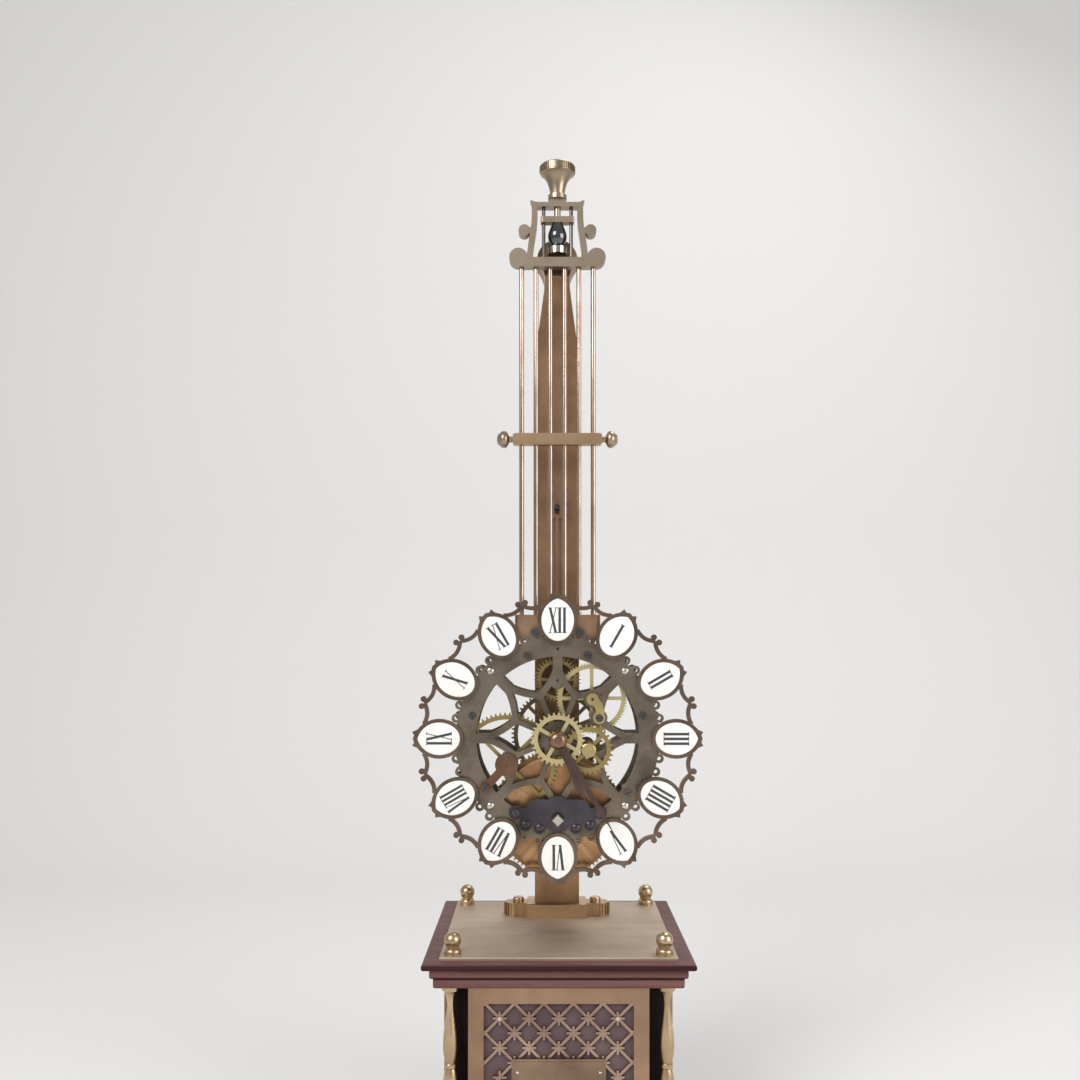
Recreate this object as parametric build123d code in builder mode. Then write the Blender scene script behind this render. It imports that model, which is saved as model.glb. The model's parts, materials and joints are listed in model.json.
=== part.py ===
from build123d import *
from math import atan2, cos, degrees, hypot, radians, sin, sqrt
import os

os.makedirs("parts", exist_ok=True)

# A skeleton mystery clock: the movement and its dial are the bob of a gridiron pendulum, which stands on
# a steel point in front of a bronze column. Millimetres, +Z up, the front faces -Y, and the origin is the
# middle of the plinth's underside.

# Fits
running_gap = 0.05          # radial clearance of a shaft or post in its hole
seat_gap = 0.05             # clearance of a piece set into another
free_gap = 0.5              # air between pieces that pass each other

# Plinth
plinth_width = 150.0        # cornice slab, square
feet_height = 11.0
feet_diameter = 24.0
feet_inset = 18.0           # from the slab's edge to a foot's axis
skirt_height = 15.0         # lower moulding
skirt_step = 5.0
case_width = 122.0
case_height = 90.0
case_wall = 6.0
corner_notch = 10.5         # square recess for a corner column
slab_thickness = 3.6
ovolo_height = 5.4
ovolo_inset = 4.1
cavetto_height = 5.8
cavetto_inset = 6.0
moulding_round = 1.6        # lower edges of the cornice's steps
top_plate_inset = 9.0
top_plate_thickness = 1.5
corner_inset = 16.0         # from the slab's edge to a finial's axis
finial_ball = 9.6
finial_base = 9.6
finial_height = 12.8
column_inset = 15.0         # from the slab's edge to a baluster's axis
baluster_bulb = 8.4
baluster_neck = 4.2
baluster_cap = 9.6
baluster_cap_height = 3.0

# Lattice panels
panel_width = 100.0
panel_thickness = 2.5
backing_thickness = 1.0
lattice_width = 83.0
lattice_margin = 9.6        # panel above and below the opening
lattice_pitch = 16.3        # between stars along a row
lattice_bar = 1.5
lattice_thickness = 1.6
star_reach = 3.8            # from a star's middle to the end of a ray
ray_width = 1.2
star_rise = 0.5
panel_screw_diameter = 2.2
name_plate_width = 52.0
name_plate_height = 15.0
name_plate_thickness = 1.2
name_plate_drop = 2.3       # below the panel's middle

# Column
column_width = 28.0
column_depth = 14.0
column_front = 26.0         # Y of its front face
column_waist = 14.6
column_head_width = 25.0
taper_height = 356.5        # heights from here on are above the slab
waist_height = 400.0
flare_height = 406.0        # a point on the curve from the waist to the head
flare_width = 17.6
head_low = 402.0
column_top = 424.5
head_front = 10.5           # Y of the head's front face
foot_width = 38.0
foot_lug_width = 66.0
foot_lug_depth = 13.0
foot_lug_height = 8.0
foot_height = 8.7
foot_depth = 24.0
foot_bolt_spacing = 49.0
foot_bolt_diameter = 4.0
foot_bolt_head = 7.0
foot_bolt_head_height = 3.0
pin_height = 259.5
pin_diameter = 2.2
pin_reach = 8.0             # from the column's face
pin_collar_diameter = 5.4
pin_collar = 1.4

# Suspension
pivot_y = 2.0
pivot_height = 423.0        # tip of the point
post_tongue_height = 412.0
post_tongue_thickness = 2.5
post_tongue_width = 9.0
post_flange_diameter = 11.4
post_shoulder_height = 416.0
post_neck_height = 417.0
post_neck_diameter = 4.2
cap_diameter = 11.6
cap_low = 417.6
cap_neck_diameter = 6.4
cup_mouth_diameter = 6.4
block_width = 20.4
block_low = 431.0
block_thickness = 3.6
block_depth = 6.0
guide_spacing = 16.8
guide_diameter = 2.2

# Yoke
yoke_depth = 7.0
yoke_bar_low = 403.8
yoke_bar_top = 409.6
yoke_lobe_x = 23.8
yoke_lobe_radius = 5.6
yoke_lobe_z = 409.6
yoke_ear_x = 20.2
yoke_ear_z = 426.0
yoke_ear_radius = 3.5
yoke_leg_x = 13.9
yoke_leg_spread = 3.4       # how far a leg leans out at its foot
yoke_leg_width = 3.5
yoke_top_low = 440.4
yoke_top_high = 443.1
yoke_horn_x = 15.6
yoke_boss_width = 10.0
yoke_boss_top = 445.4
rating_screw_diameter = 4.0
knob_diameter = 21.0
knob_top = 466.5
knob_rim_height = 5.4
knob_stem_diameter = 8.6
knob_ring_diameter = 11.4
knob_ring_height = 2.6

# Gridiron
rod_count = 6
rod_pitch = 8.75
rod_diameter = 3.0
rod_seat = 5.0              # how deep a rod goes into the block and the yoke
crossbar_height = 299.0
crossbar_width = 54.6
crossbar_thickness = 7.0
crossbar_depth = 6.4
button_diameter = 10.4
button_width = 7.6
button_neck = 3.6
button_neck_width = 2.0

# Movement frame
dial_height = 117.5
plate_thickness = 3.0
front_plate_y = -13.0       # front face of the front plate
plate_gap = 24.0            # between the plates
ring_inner = 49.0
ring_outer = 61.0
scroll_circle = 62.0
scroll_outer = 2.7
scroll_hole = 1.2
arm_count = 8
arm_width = 6.0
branch_width = 3.6
arm_split = 41.0
branch_circle = 27.5
hub_outer = 10.0
spoke_bar = 3.0
boss_radius = 5.0
barrel_boss_radius = 12.0
tab_width = 7.0             # each of the two ears that hold the block
tab_screw_spacing = 27.0
tab_screw_height = 63.4
block_half_width = 25.7
block_bottom = 58.5         # above the dial's centre
block_height = 15.6
pillar_circle = 53.0
pillar_radius = 2.6
pillar_angles = (70, 110, 165, 15, -37.5)
screw_head = 4.6
screw_head_height = 1.6
screw_shank = 2.0
screw_length = 6.0

# Dial
chapter_thickness = 2.6
plaque_tip = 83.8
plaque_wide_circle = 70.8
plaque_inner = 58.2
plaque_half_width = 9.85
plaque_thickness = 2.2
plaque_lip = 0.9
lip_thickness = 0.6
frame_width = 2.0
spur_circle = 86.8
spur_offset = 4.1
link_width = 2.4
link_dip = 79.2
curl_circle = 83.4
curl_radius = 1.75
curl_offset = 2.2

# Going train: positions of the arbors from the dial's centre
barrel_xz = (0.0, -47.6)
intermediate_xz = (-30.4, -15.5)
centre_xz = (0.0, 0.0)
third_xz = (20.8, 23.5)
escape_xz = (0.0, 34.6)
pallet_xz = (0.0, 53.6)
minute_xz = (18.2, -6.4)

great_teeth = 88
intermediate_leaves = 12
intermediate_teeth = 66
centre_leaves = 9
centre_teeth = 64
third_leaves = 8
third_teeth = 72
escape_leaves = 8
escape_teeth = 36
cannon_leaves = 10
minute_teeth = 30
minute_leaves = 8
hour_teeth = 32

tooth_height = 0.72         # above the pitch circle, in modules
tooth_depth = 1.05          # below the pitch circle, in modules
wheel_thickness = 1.5
great_thickness = 2.3
hub_radius = 4.5
spoke_width = 2.2
spoke_turn = 45             # degrees from +X to a wheel's first spoke
third_spoke_turn = 0
hour_spoke_turn = 60
rim_width = 2.6
arbor_radius = 1.6
pivot_radius = 0.9

# Rear faces of the wheels and pinions, in Y
intermediate_pinion_y = 10.2
intermediate_wheel_y = -6.4
centre_wheel_y = 12.4
centre_pinion_y = -4.9
third_pinion_y = 13.3
third_wheel_y = -1.4
escape_pinion_y = -0.4
escape_wheel_y = 5.4
pinion_length = 4.0

# Barrel and winding
drum_radius = 36.0
drum_wall = 1.6
drum_length = 11.5
drum_front_y = -4.4
cover_thickness = 1.2
spring_thickness = 0.6
spring_turns = 9
spring_gap = 0.5            # from the spring's edges to the drum's ends
winding_radius = 4.0
winding_square = 5.2
winding_front_y = -24.0
ratchet_radius = 9.5
ratchet_teeth = 18
ratchet_thickness = 2.0
ratchet_gap = 0.4           # from the back plate
click_xz = (15.0, -52.0)
click_radius = 2.8
click_tip_angle = 40.0
click_clear = 0.7           # from the ratchet's tips
click_pin_diameter = 2.4
click_spring_width = 0.8

# Bridges
bridge_thickness = 2.5
bridge_radius = 8.4
bridge_hump = 5.0           # height of the hump's middle above the arbor
bridge_foot_xz = (25.0, -44.0)
bridge_width = 40.0         # body between the feet
bridge_height = 15.0
bridge_lobe = 4.2
bridge_lobe_places = ((10.8, -53.2), (19.2, -51.4))
cock_disc = 7.0
cock_foot_xz = (-43.0, -29.0)
cock_arm = 5.0
third_cock_foot_xz = (24.8, 12.4)
third_cock_radius = 3.6

# Escapement
escape_radius = 14.5
escape_tooth_height = 2.6
pallet_clear = 0.6          # from the wheel's tips at the end of the swing
pallet_swing = 6.0          # degrees each way, with a little in hand
pallet_arm = 2.6
pallet_hub = 3.6
pallet_thickness = 3.0
crutch_y = 20.6             # rear face
crutch_thickness = 1.6
crutch_width = 1.8
crutch_hub = 3.2
fork_width = 6.0
fork_length = 13.0
fork_slot = 9.0

# Motion work and hands
cannon_y = -14.2
cannon_length = 2.8
minute_wheel_y = -14.8
minute_pinion_length = 3.6
hour_wheel_y = -17.9
hour_pipe_front = -23.4
hour_pipe_radius = 3.4
cannon_pipe_radius = 2.5
cannon_pipe_front = -25.6
centre_front = -27.6
hand_thickness = 1.0
hour_hand_y = -22.0
minute_hand_y = -24.3
minute_hand_length = 66.0
hour_hand_length = 42.0
minute_hand_angle = 149.0   # clockwise from twelve
hour_hand_angle = 156.0
hand_spade = 2.3            # half width of the leaf
hand_collet = 5.0
hand_width = 2.2            # half width at the root
nut_radius = 5.4
nut_length = 4.4
stud_radius = 1.3
stud_front = -21.4
stud_cap_radius = 4.4
stud_cap_thickness = 1.3

# Levels that follow from the sizes above
skirt_z = feet_height
case_z = skirt_z + skirt_height
cornice_z = case_z + case_height
slab_z = cornice_z + cavetto_height + ovolo_height + slab_thickness
plate_z = slab_z + top_plate_thickness
dial_z = slab_z + dial_height
back_plate_y = front_plate_y + 2 * plate_thickness + plate_gap   # rear face of the back plate
inner_front_y = front_plate_y + plate_thickness
inner_back_y = inner_front_y + plate_gap
panel_z = case_z + case_height / 2
panel_face = case_width / 2 + backing_thickness
lattice_height = case_height - 2 * lattice_margin
finial_spread = plinth_width - 2 * corner_inset
baluster_spread = plinth_width - 2 * column_inset
foot_front = column_front - (foot_depth - column_depth) / 2


def facing(x, y, z):
    """A sketch plane that faces the front, with its local axes along X and Z."""
    return Plane(origin=(x, y, z), x_dir=(1, 0, 0), z_dir=(0, -1, 0))


def on_dial(xz, y):
    """A front-facing plane at a place given from the dial's centre."""
    return facing(xz[0], y, dial_z + xz[1])


def polar(radius, angle):
    """A point at an angle counted anticlockwise from +X."""
    return (radius * cos(radians(angle)), radius * sin(radians(angle)))


def side_plane(turn, out, z):
    """A plane that faces outwards from one side of the plinth."""
    a = radians(turn)
    return Plane(origin=(out * sin(a), -out * cos(a), z), x_dir=(cos(a), sin(a), 0), z_dir=(sin(a), -cos(a), 0))


def spacing(a, b):
    """Distance between two arbors."""
    return hypot(a[0] - b[0], a[1] - b[1])


def pitch_radius(own_teeth, other_teeth, distance):
    """Pitch radius of a gear from both tooth counts and the distance of the arbors."""
    return distance * own_teeth / (own_teeth + other_teeth)


def mesh_phase(own_teeth, towards, tooth=True):
    """Turn that puts a tooth, or a gap, of the gear on the line towards its mate."""
    half_gap = 0 if tooth else 180 / own_teeth
    return towards + half_gap


def heading(a, b):
    """Angle of the line from one arbor to another."""
    return degrees(atan2(b[1] - a[1], b[0] - a[0]))


def gear_outline(teeth, pitch, phase, slim):
    """Closed outline of a gear: root, flank and tip of each tooth; slim is half a tooth in pitches."""
    module = 2 * pitch / teeth
    step = 360 / teeth
    root = pitch - tooth_depth * module
    tip = pitch + tooth_height * module
    points = []
    for i in range(teeth):
        middle = phase + i * step
        for radius, half in ((root, slim + 0.05), (pitch, slim), (tip, slim - 0.11)):
            points.append((radius, middle - half * step))
        for radius, half in ((tip, slim - 0.11), (pitch, slim), (root, slim + 0.05)):
            points.append((radius, middle + half * step))
    return [polar(radius, angle) for radius, angle in points]


def gear_face(plane, teeth, pitch, phase, slim=0.19):
    """Face of a solid gear."""
    with BuildSketch(plane) as face:
        with BuildLine():
            Polyline(*gear_outline(teeth, pitch, phase, slim), close=True)
        make_face()
    return face.sketch


def spoked_gear(plane, teeth, pitch, phase, spokes, bore, turn=spoke_turn, hub=hub_radius, rim=rim_width):
    """Face of a crossed-out wheel with a rim, spokes and a hub."""
    rim_radius = pitch - tooth_depth * 2 * pitch / teeth - rim
    with BuildSketch(plane) as face:
        add(gear_face(Plane.XY, teeth, pitch, phase))
        Circle(rim_radius, mode=Mode.SUBTRACT)
        with PolarLocations(rim_radius / 2, spokes, start_angle=turn):
            Rectangle(rim_radius + 1, spoke_width)
        Circle(hub)
        Circle(bore, mode=Mode.SUBTRACT)
    return face.sketch


def rod_along_y(xz, rear, front, radius):
    """Round bar from its rear end towards the front."""
    with BuildSketch(on_dial(xz, rear)) as disc:
        Circle(radius)
    extrude(to_extrude=disc.sketch, amount=rear - front)


def arbor(xz, rear_pivot, rear, front, front_pivot):
    """Stepped arbor with a pivot at each end."""
    rod_along_y(xz, rear, front, arbor_radius)
    rod_along_y(xz, rear_pivot, rear, pivot_radius)
    rod_along_y(xz, front, front_pivot, pivot_radius)


def save(piece, name):
    """Label a finished piece and write it."""
    piece.part.label = name
    export_step(piece.part, f"parts/{name}.step")


# Plinth

with BuildPart() as bun_feet:
    foot_spread = plinth_width - 2 * feet_inset
    with GridLocations(foot_spread, foot_spread, 2, 2):
        Cylinder(feet_diameter / 2, feet_height, align=(Align.CENTER, Align.CENTER, Align.MIN))
    fillet(bun_feet.edges().filter_by(GeomType.CIRCLE), feet_height * 0.35)
save(bun_feet, "bun_feet")

with BuildPart() as base_moulding:
    with BuildSketch(Plane.XY.offset(skirt_z)):
        Rectangle(plinth_width, plinth_width)
    extrude(amount=skirt_height * 0.55)
    fillet(base_moulding.faces().sort_by(Axis.Z)[-1].edges(), skirt_height * 0.2)
    with BuildSketch(Plane.XY.offset(skirt_z + skirt_height * 0.55)):
        Rectangle(plinth_width - 2 * skirt_step, plinth_width - 2 * skirt_step)
    extrude(amount=skirt_height * 0.45)
    fillet(base_moulding.faces().sort_by(Axis.Z)[-1].edges(), skirt_height * 0.15)
save(base_moulding, "base_moulding")


def cross_shape(width, notch):
    """Square with its corners cut out."""
    Rectangle(width, width - 2 * notch)
    Rectangle(width - 2 * notch, width)


with BuildPart() as case_body:
    with BuildSketch(Plane.XY.offset(case_z)):
        cross_shape(case_width, corner_notch)
    extrude(amount=case_height)
    with BuildSketch(Plane.XY.offset(case_z)):
        cross_shape(case_width - 2 * case_wall, corner_notch)
    extrude(amount=case_height, mode=Mode.SUBTRACT)
save(case_body, "case_body")

with BuildPart() as cornice:
    level = cornice_z
    for inset, height in ((cavetto_inset, cavetto_height), (ovolo_inset, ovolo_height), (0, slab_thickness)):
        with BuildSketch(Plane.XY.offset(level)):
            Rectangle(plinth_width - 2 * inset, plinth_width - 2 * inset)
        step = extrude(amount=height)
        low = step.faces().sort_by(Axis.Z)[0].edges()
        fillet(low, moulding_round)
        level += height
    fillet(cornice.faces().sort_by(Axis.Z)[-1].edges(), slab_thickness * 0.35)
save(cornice, "cornice")

with BuildPart() as top_plate:
    with BuildSketch(Plane.XY.offset(slab_z)):
        Rectangle(plinth_width - 2 * top_plate_inset, plinth_width - 2 * top_plate_inset)
    extrude(amount=top_plate_thickness)
    chamfer(top_plate.faces().sort_by(Axis.Z)[-1].edges(), top_plate_thickness * 0.35)
save(top_plate, "top_plate")

with BuildPart() as finial:
    ball_z = finial_height - finial_ball / 2
    neck = finial_ball * 0.4
    base_r = finial_base / 2
    with BuildSketch(Plane.XZ):
        with BuildLine():
            Polyline((0, 0), (base_r, 0), (base_r, finial_height * 0.12))
            neck_z = ball_z - sqrt((finial_ball / 2) ** 2 - neck ** 2)
            ThreePointArc(
                (base_r, finial_height * 0.12),
                (base_r * 0.94, finial_height * 0.22),
                (base_r * 0.76, finial_height * 0.28),
            )
            Line((base_r * 0.76, finial_height * 0.28), (neck, neck_z))
            ThreePointArc((neck, neck_z), (finial_ball / 2, ball_z), (0, finial_height))
            Line((0, finial_height), (0, 0))
        make_face()
    revolve(axis=Axis.Z)

with BuildPart(Plane.XY.offset(plate_z)) as corner_finials:
    with GridLocations(finial_spread, finial_spread, 2, 2):
        add(finial.part)
save(corner_finials, "corner_finials")

with BuildPart() as baluster:
    half = case_height / 2
    bulb_r, neck_r, cap_r = baluster_bulb / 2, baluster_neck / 2, baluster_cap / 2
    shoulder = half - baluster_cap_height
    with BuildSketch(Plane.XZ):
        with BuildLine():
            Polyline(
                (0, 0),
                (bulb_r * 0.84, 0),
                (bulb_r * 0.84, half * 0.02),
                (bulb_r * 0.7, half * 0.035),
            )
            Spline(
                (bulb_r * 0.7, half * 0.035),
                (bulb_r, half * 0.2),
                (neck_r * 1.25, half * 0.6),
                (neck_r, half * 0.8),
                (cap_r * 0.9, shoulder),
            )
            Line((cap_r * 0.9, shoulder), (cap_r, shoulder))
            Line((cap_r, shoulder), (cap_r, half))
            Line((cap_r, half), (0, half))
            Line((0, half), (0, 0))
        make_face()
    revolve(axis=Axis.Z)
    mirror(about=Plane.XY)

with BuildPart(Plane.XY.offset(panel_z)) as corner_columns:
    with GridLocations(baluster_spread, baluster_spread, 2, 2):
        add(baluster.part)
save(corner_columns, "corner_columns")

# Lattice panels on the front and both sides

panel_turns = (0, 90, -90)

with BuildPart() as lattice_backings:
    for turn in panel_turns:
        with BuildSketch(side_plane(turn, case_width / 2, panel_z)):
            Rectangle(panel_width, case_height)
        extrude(amount=backing_thickness)
save(lattice_backings, "lattice_backings")

with BuildPart() as panel_frames:
    for turn in panel_turns:
        with BuildSketch(side_plane(turn, panel_face, panel_z)):
            Rectangle(panel_width, case_height)
            Rectangle(lattice_width, lattice_height, mode=Mode.SUBTRACT)
        extrude(amount=panel_thickness)
save(panel_frames, "panel_frames")

bar_pitch = lattice_pitch / sqrt(2)
bars_each_way = 2 * int((lattice_width + lattice_height) / lattice_pitch / 2) + 3
bar_length = 2 * (lattice_width + lattice_height)
star_columns = int(lattice_width / lattice_pitch)
star_rows = int(lattice_height / lattice_pitch)
star_shift = lattice_height / 2 - star_rows * lattice_pitch / 2    # first row half a pitch below the edge
star_x = (star_columns - 1) * lattice_pitch / 2
star_top = lattice_height / 2 - lattice_pitch / 2
star_low = star_top - (star_rows - 1) * lattice_pitch
lattice_opening = (lattice_width - 2 * seat_gap, lattice_height - 2 * seat_gap)

with BuildSketch() as lattice_stars:
    rows_of_stars = ((star_columns, star_shift), (star_columns - 1, star_shift - lattice_pitch / 2))
    for columns, middle in rows_of_stars:
        with Locations((0, middle)):
            with GridLocations(lattice_pitch, lattice_pitch, columns, star_rows):
                Rectangle(2 * star_reach, ray_width)
                Rectangle(ray_width, 2 * star_reach)

with BuildPart() as lattice:
    with BuildSketch(side_plane(0, panel_face, panel_z)):
        for lean in (45, -45):
            with Locations(Location((star_x, star_top, 0), lean)):
                with GridLocations(1, bar_pitch, 1, bars_each_way):
                    Rectangle(bar_length, lattice_bar)
        Rectangle(*lattice_opening, mode=Mode.INTERSECT)
    extrude(amount=lattice_thickness)
    with BuildSketch(side_plane(0, panel_face, panel_z)):
        add(lattice_stars.sketch)
        Rectangle(*lattice_opening, mode=Mode.INTERSECT)
    extrude(amount=lattice_thickness + star_rise)

with BuildPart() as lattices:
    for turn in panel_turns:
        add(lattice.part.rotate(Axis.Z, turn))
save(lattices, "lattices")

with BuildPart() as name_plate:
    with BuildSketch(side_plane(0, panel_face + lattice_thickness + star_rise, panel_z - name_plate_drop)):
        RectangleRounded(name_plate_width, name_plate_height, name_plate_thickness)
    extrude(amount=name_plate_thickness)
save(name_plate, "name_plate")

with BuildPart() as panel_screws:
    for turn in panel_turns:
        with BuildSketch(side_plane(turn, panel_face + lattice_thickness + star_rise, panel_z)):
            with Locations((star_x, star_top), (-star_x, star_top), (star_x, star_low), (-star_x, star_low)):
                Circle(panel_screw_diameter / 2)
        extrude(amount=panel_screw_diameter * 0.3)
save(panel_screws, "panel_screws")

# Column and its foot

foot_middle = foot_front + foot_depth / 2

with BuildPart() as column_foot:
    with BuildSketch(Plane.XY.offset(plate_z)):
        with Locations((0, foot_middle)):
            Rectangle(foot_width, foot_depth)
    extrude(amount=foot_height)
    fillet(column_foot.faces().sort_by(Axis.Z)[-1].edges(), foot_height * 0.16)
    with BuildSketch(Plane.XY.offset(plate_z)):
        with Locations((0, foot_middle)):
            SlotOverall(foot_lug_width, foot_lug_depth)
    extrude(amount=foot_lug_height)
    for x in (-foot_bolt_spacing / 2, foot_bolt_spacing / 2):
        with Locations((x, foot_middle, plate_z)):
            Cylinder(foot_bolt_diameter / 2 + seat_gap, 2 * foot_lug_height, mode=Mode.SUBTRACT)
save(column_foot, "column_foot")

with BuildPart() as foot_bolts:
    for x in (-foot_bolt_spacing / 2, foot_bolt_spacing / 2):
        with BuildSketch(Plane.XY.offset(plate_z)):
            with Locations((x, foot_middle)):
                Circle(foot_bolt_diameter / 2)
        extrude(amount=foot_lug_height)
        with BuildSketch(Plane.XY.offset(plate_z + foot_lug_height)):
            with Locations((x, foot_middle)):
                Circle(foot_bolt_head / 2)
        extrude(amount=foot_bolt_head_height)
    fillet(foot_bolts.faces().group_by(Axis.Z)[-1].edges(), foot_bolt_head_height * 0.4)
save(foot_bolts, "foot_bolts")

column_base = plate_z + foot_height
head_radius = column_head_width / 2
column_back = column_front + column_depth
pin_z = slab_z + pin_height

with BuildPart() as column:
    with BuildSketch(Plane.YZ):
        with BuildLine():
            Line((column_front, column_base), (column_front, slab_z + taper_height))
            ThreePointArc(
                (column_front, slab_z + taper_height),
                ((3 * column_front + head_front) / 4, slab_z + (taper_height + head_low) / 2),
                (head_front, slab_z + head_low),
            )
            Polyline(
                (head_front, slab_z + head_low),
                (head_front, slab_z + column_top),
                (column_front, slab_z + column_top),
                (column_back, slab_z + waist_height),
                (column_back, column_base),
                (column_front, column_base),
            )
        make_face()
    extrude(amount=column_width, both=True)
    with BuildSketch(facing(0, column_back, 0)):
        with BuildLine():
            head_z = slab_z + column_top - head_radius
            flare_z = slab_z + flare_height
            Line((-column_width / 2, column_base), (column_width / 2, column_base))
            for side in (1, -1):
                Polyline(
                    (side * column_width / 2, column_base),
                    (side * column_width / 2, slab_z + taper_height),
                    (side * column_waist / 2, slab_z + waist_height),
                )
                ThreePointArc(
                    (side * column_waist / 2, slab_z + waist_height),
                    (side * flare_width / 2, flare_z),
                    (side * head_radius, head_z),
                )
            ThreePointArc((head_radius, head_z), (0, slab_z + column_top), (-head_radius, head_z))
        make_face()
    extrude(amount=column_back - head_front, mode=Mode.INTERSECT)
    tongue_middle = slab_z + post_tongue_height + post_tongue_thickness / 2
    tongue_seat = head_front + (column_front - head_front) / 2
    with BuildSketch(facing(0, tongue_seat, tongue_middle)):
        Rectangle(post_tongue_width + 2 * seat_gap, post_tongue_thickness + 2 * seat_gap)
    extrude(amount=tongue_seat - head_front, mode=Mode.SUBTRACT)
    with BuildSketch(facing(0, column_front + column_depth / 2, pin_z)):
        Circle(pin_diameter / 2 + seat_gap)
    extrude(amount=column_depth / 2, mode=Mode.SUBTRACT)
    fillet(column.edges().filter_by(Axis.Z).group_by(Axis.Y)[0], 2.0)
save(column, "column")

with BuildPart() as impulse_pin:
    with BuildSketch(facing(0, column_front + column_depth / 2, pin_z)):
        Circle(pin_diameter / 2)
    extrude(amount=column_depth / 2 + pin_reach)
    with BuildSketch(facing(0, column_front, pin_z)):
        Circle(pin_collar_diameter / 2)
    extrude(amount=pin_collar)
save(impulse_pin, "impulse_pin")


def about_pivot(height):
    """A plane through the pendulum's vertical line, for profiles turned about it."""
    return Plane(origin=(0, pivot_y, slab_z + height), x_dir=(1, 0, 0), z_dir=(0, -1, 0))


pivot_line = Axis((0, pivot_y, 0), (0, 0, 1))

with BuildPart() as pivot_post:
    flange_top = post_shoulder_height
    flange_r = post_flange_diameter / 2
    neck_r = post_neck_diameter / 2
    with BuildSketch(about_pivot(0)):
        with BuildLine():
            Polyline(
                (0, pivot_height),
                (0, post_tongue_height),
                (flange_r, post_tongue_height),
                (flange_r, flange_top),
            )
            ThreePointArc(
                (flange_r, flange_top),
                (neck_r + (flange_r - neck_r) * 0.4, flange_top + (post_neck_height - flange_top) * 0.4),
                (neck_r, post_neck_height),
            )
            Line((neck_r, post_neck_height), (0, pivot_height))
        make_face()
    revolve(axis=pivot_line)
    with BuildSketch(facing(0, tongue_seat, tongue_middle)):
        Rectangle(post_tongue_width, post_tongue_thickness)
    extrude(amount=tongue_seat - pivot_y)
save(pivot_post, "pivot_post")

# Suspension

with BuildPart() as pivot_cap:
    cap_r = cap_diameter / 2
    cap_neck = cap_neck_diameter / 2
    mouth = cup_mouth_diameter / 2
    cup_apex = pivot_height + running_gap
    cap_wide = cap_low + (block_low - cap_low) * 0.36
    with BuildSketch(about_pivot(0)):
        with BuildLine():
            Polyline((mouth, cap_low), (0, cup_apex), (0, block_low), (cap_neck, block_low))
            Spline(
                (cap_neck, block_low),
                (cap_r, cap_wide),
                (mouth + 0.6, cap_low),
                tangents=((0.36, -1), (-0.8, -1)),
            )
            Line((mouth + 0.6, cap_low), (mouth, cap_low))
        make_face()
    revolve(axis=pivot_line)
save(pivot_cap, "pivot_cap")

with BuildPart() as riding_block:
    with BuildSketch(Plane.XY.offset(slab_z + block_low)):
        with Locations((0, pivot_y)):
            RectangleRounded(block_width, block_depth, block_depth * 0.2)
        with Locations((guide_spacing / 2, pivot_y), (-guide_spacing / 2, pivot_y)):
            Circle(guide_diameter / 2 + running_gap, mode=Mode.SUBTRACT)
        with Locations((0, pivot_y)):
            Circle(rating_screw_diameter / 2 + running_gap, mode=Mode.SUBTRACT)
    extrude(amount=block_thickness)
save(riding_block, "riding_block")

# Yoke, its posts and the rating screw

guide_low = yoke_bar_top - 3.0
guide_high = yoke_top_low + 1.6
rod_xs = [(i - (rod_count - 1) / 2) * rod_pitch for i in range(rod_count)]

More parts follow.
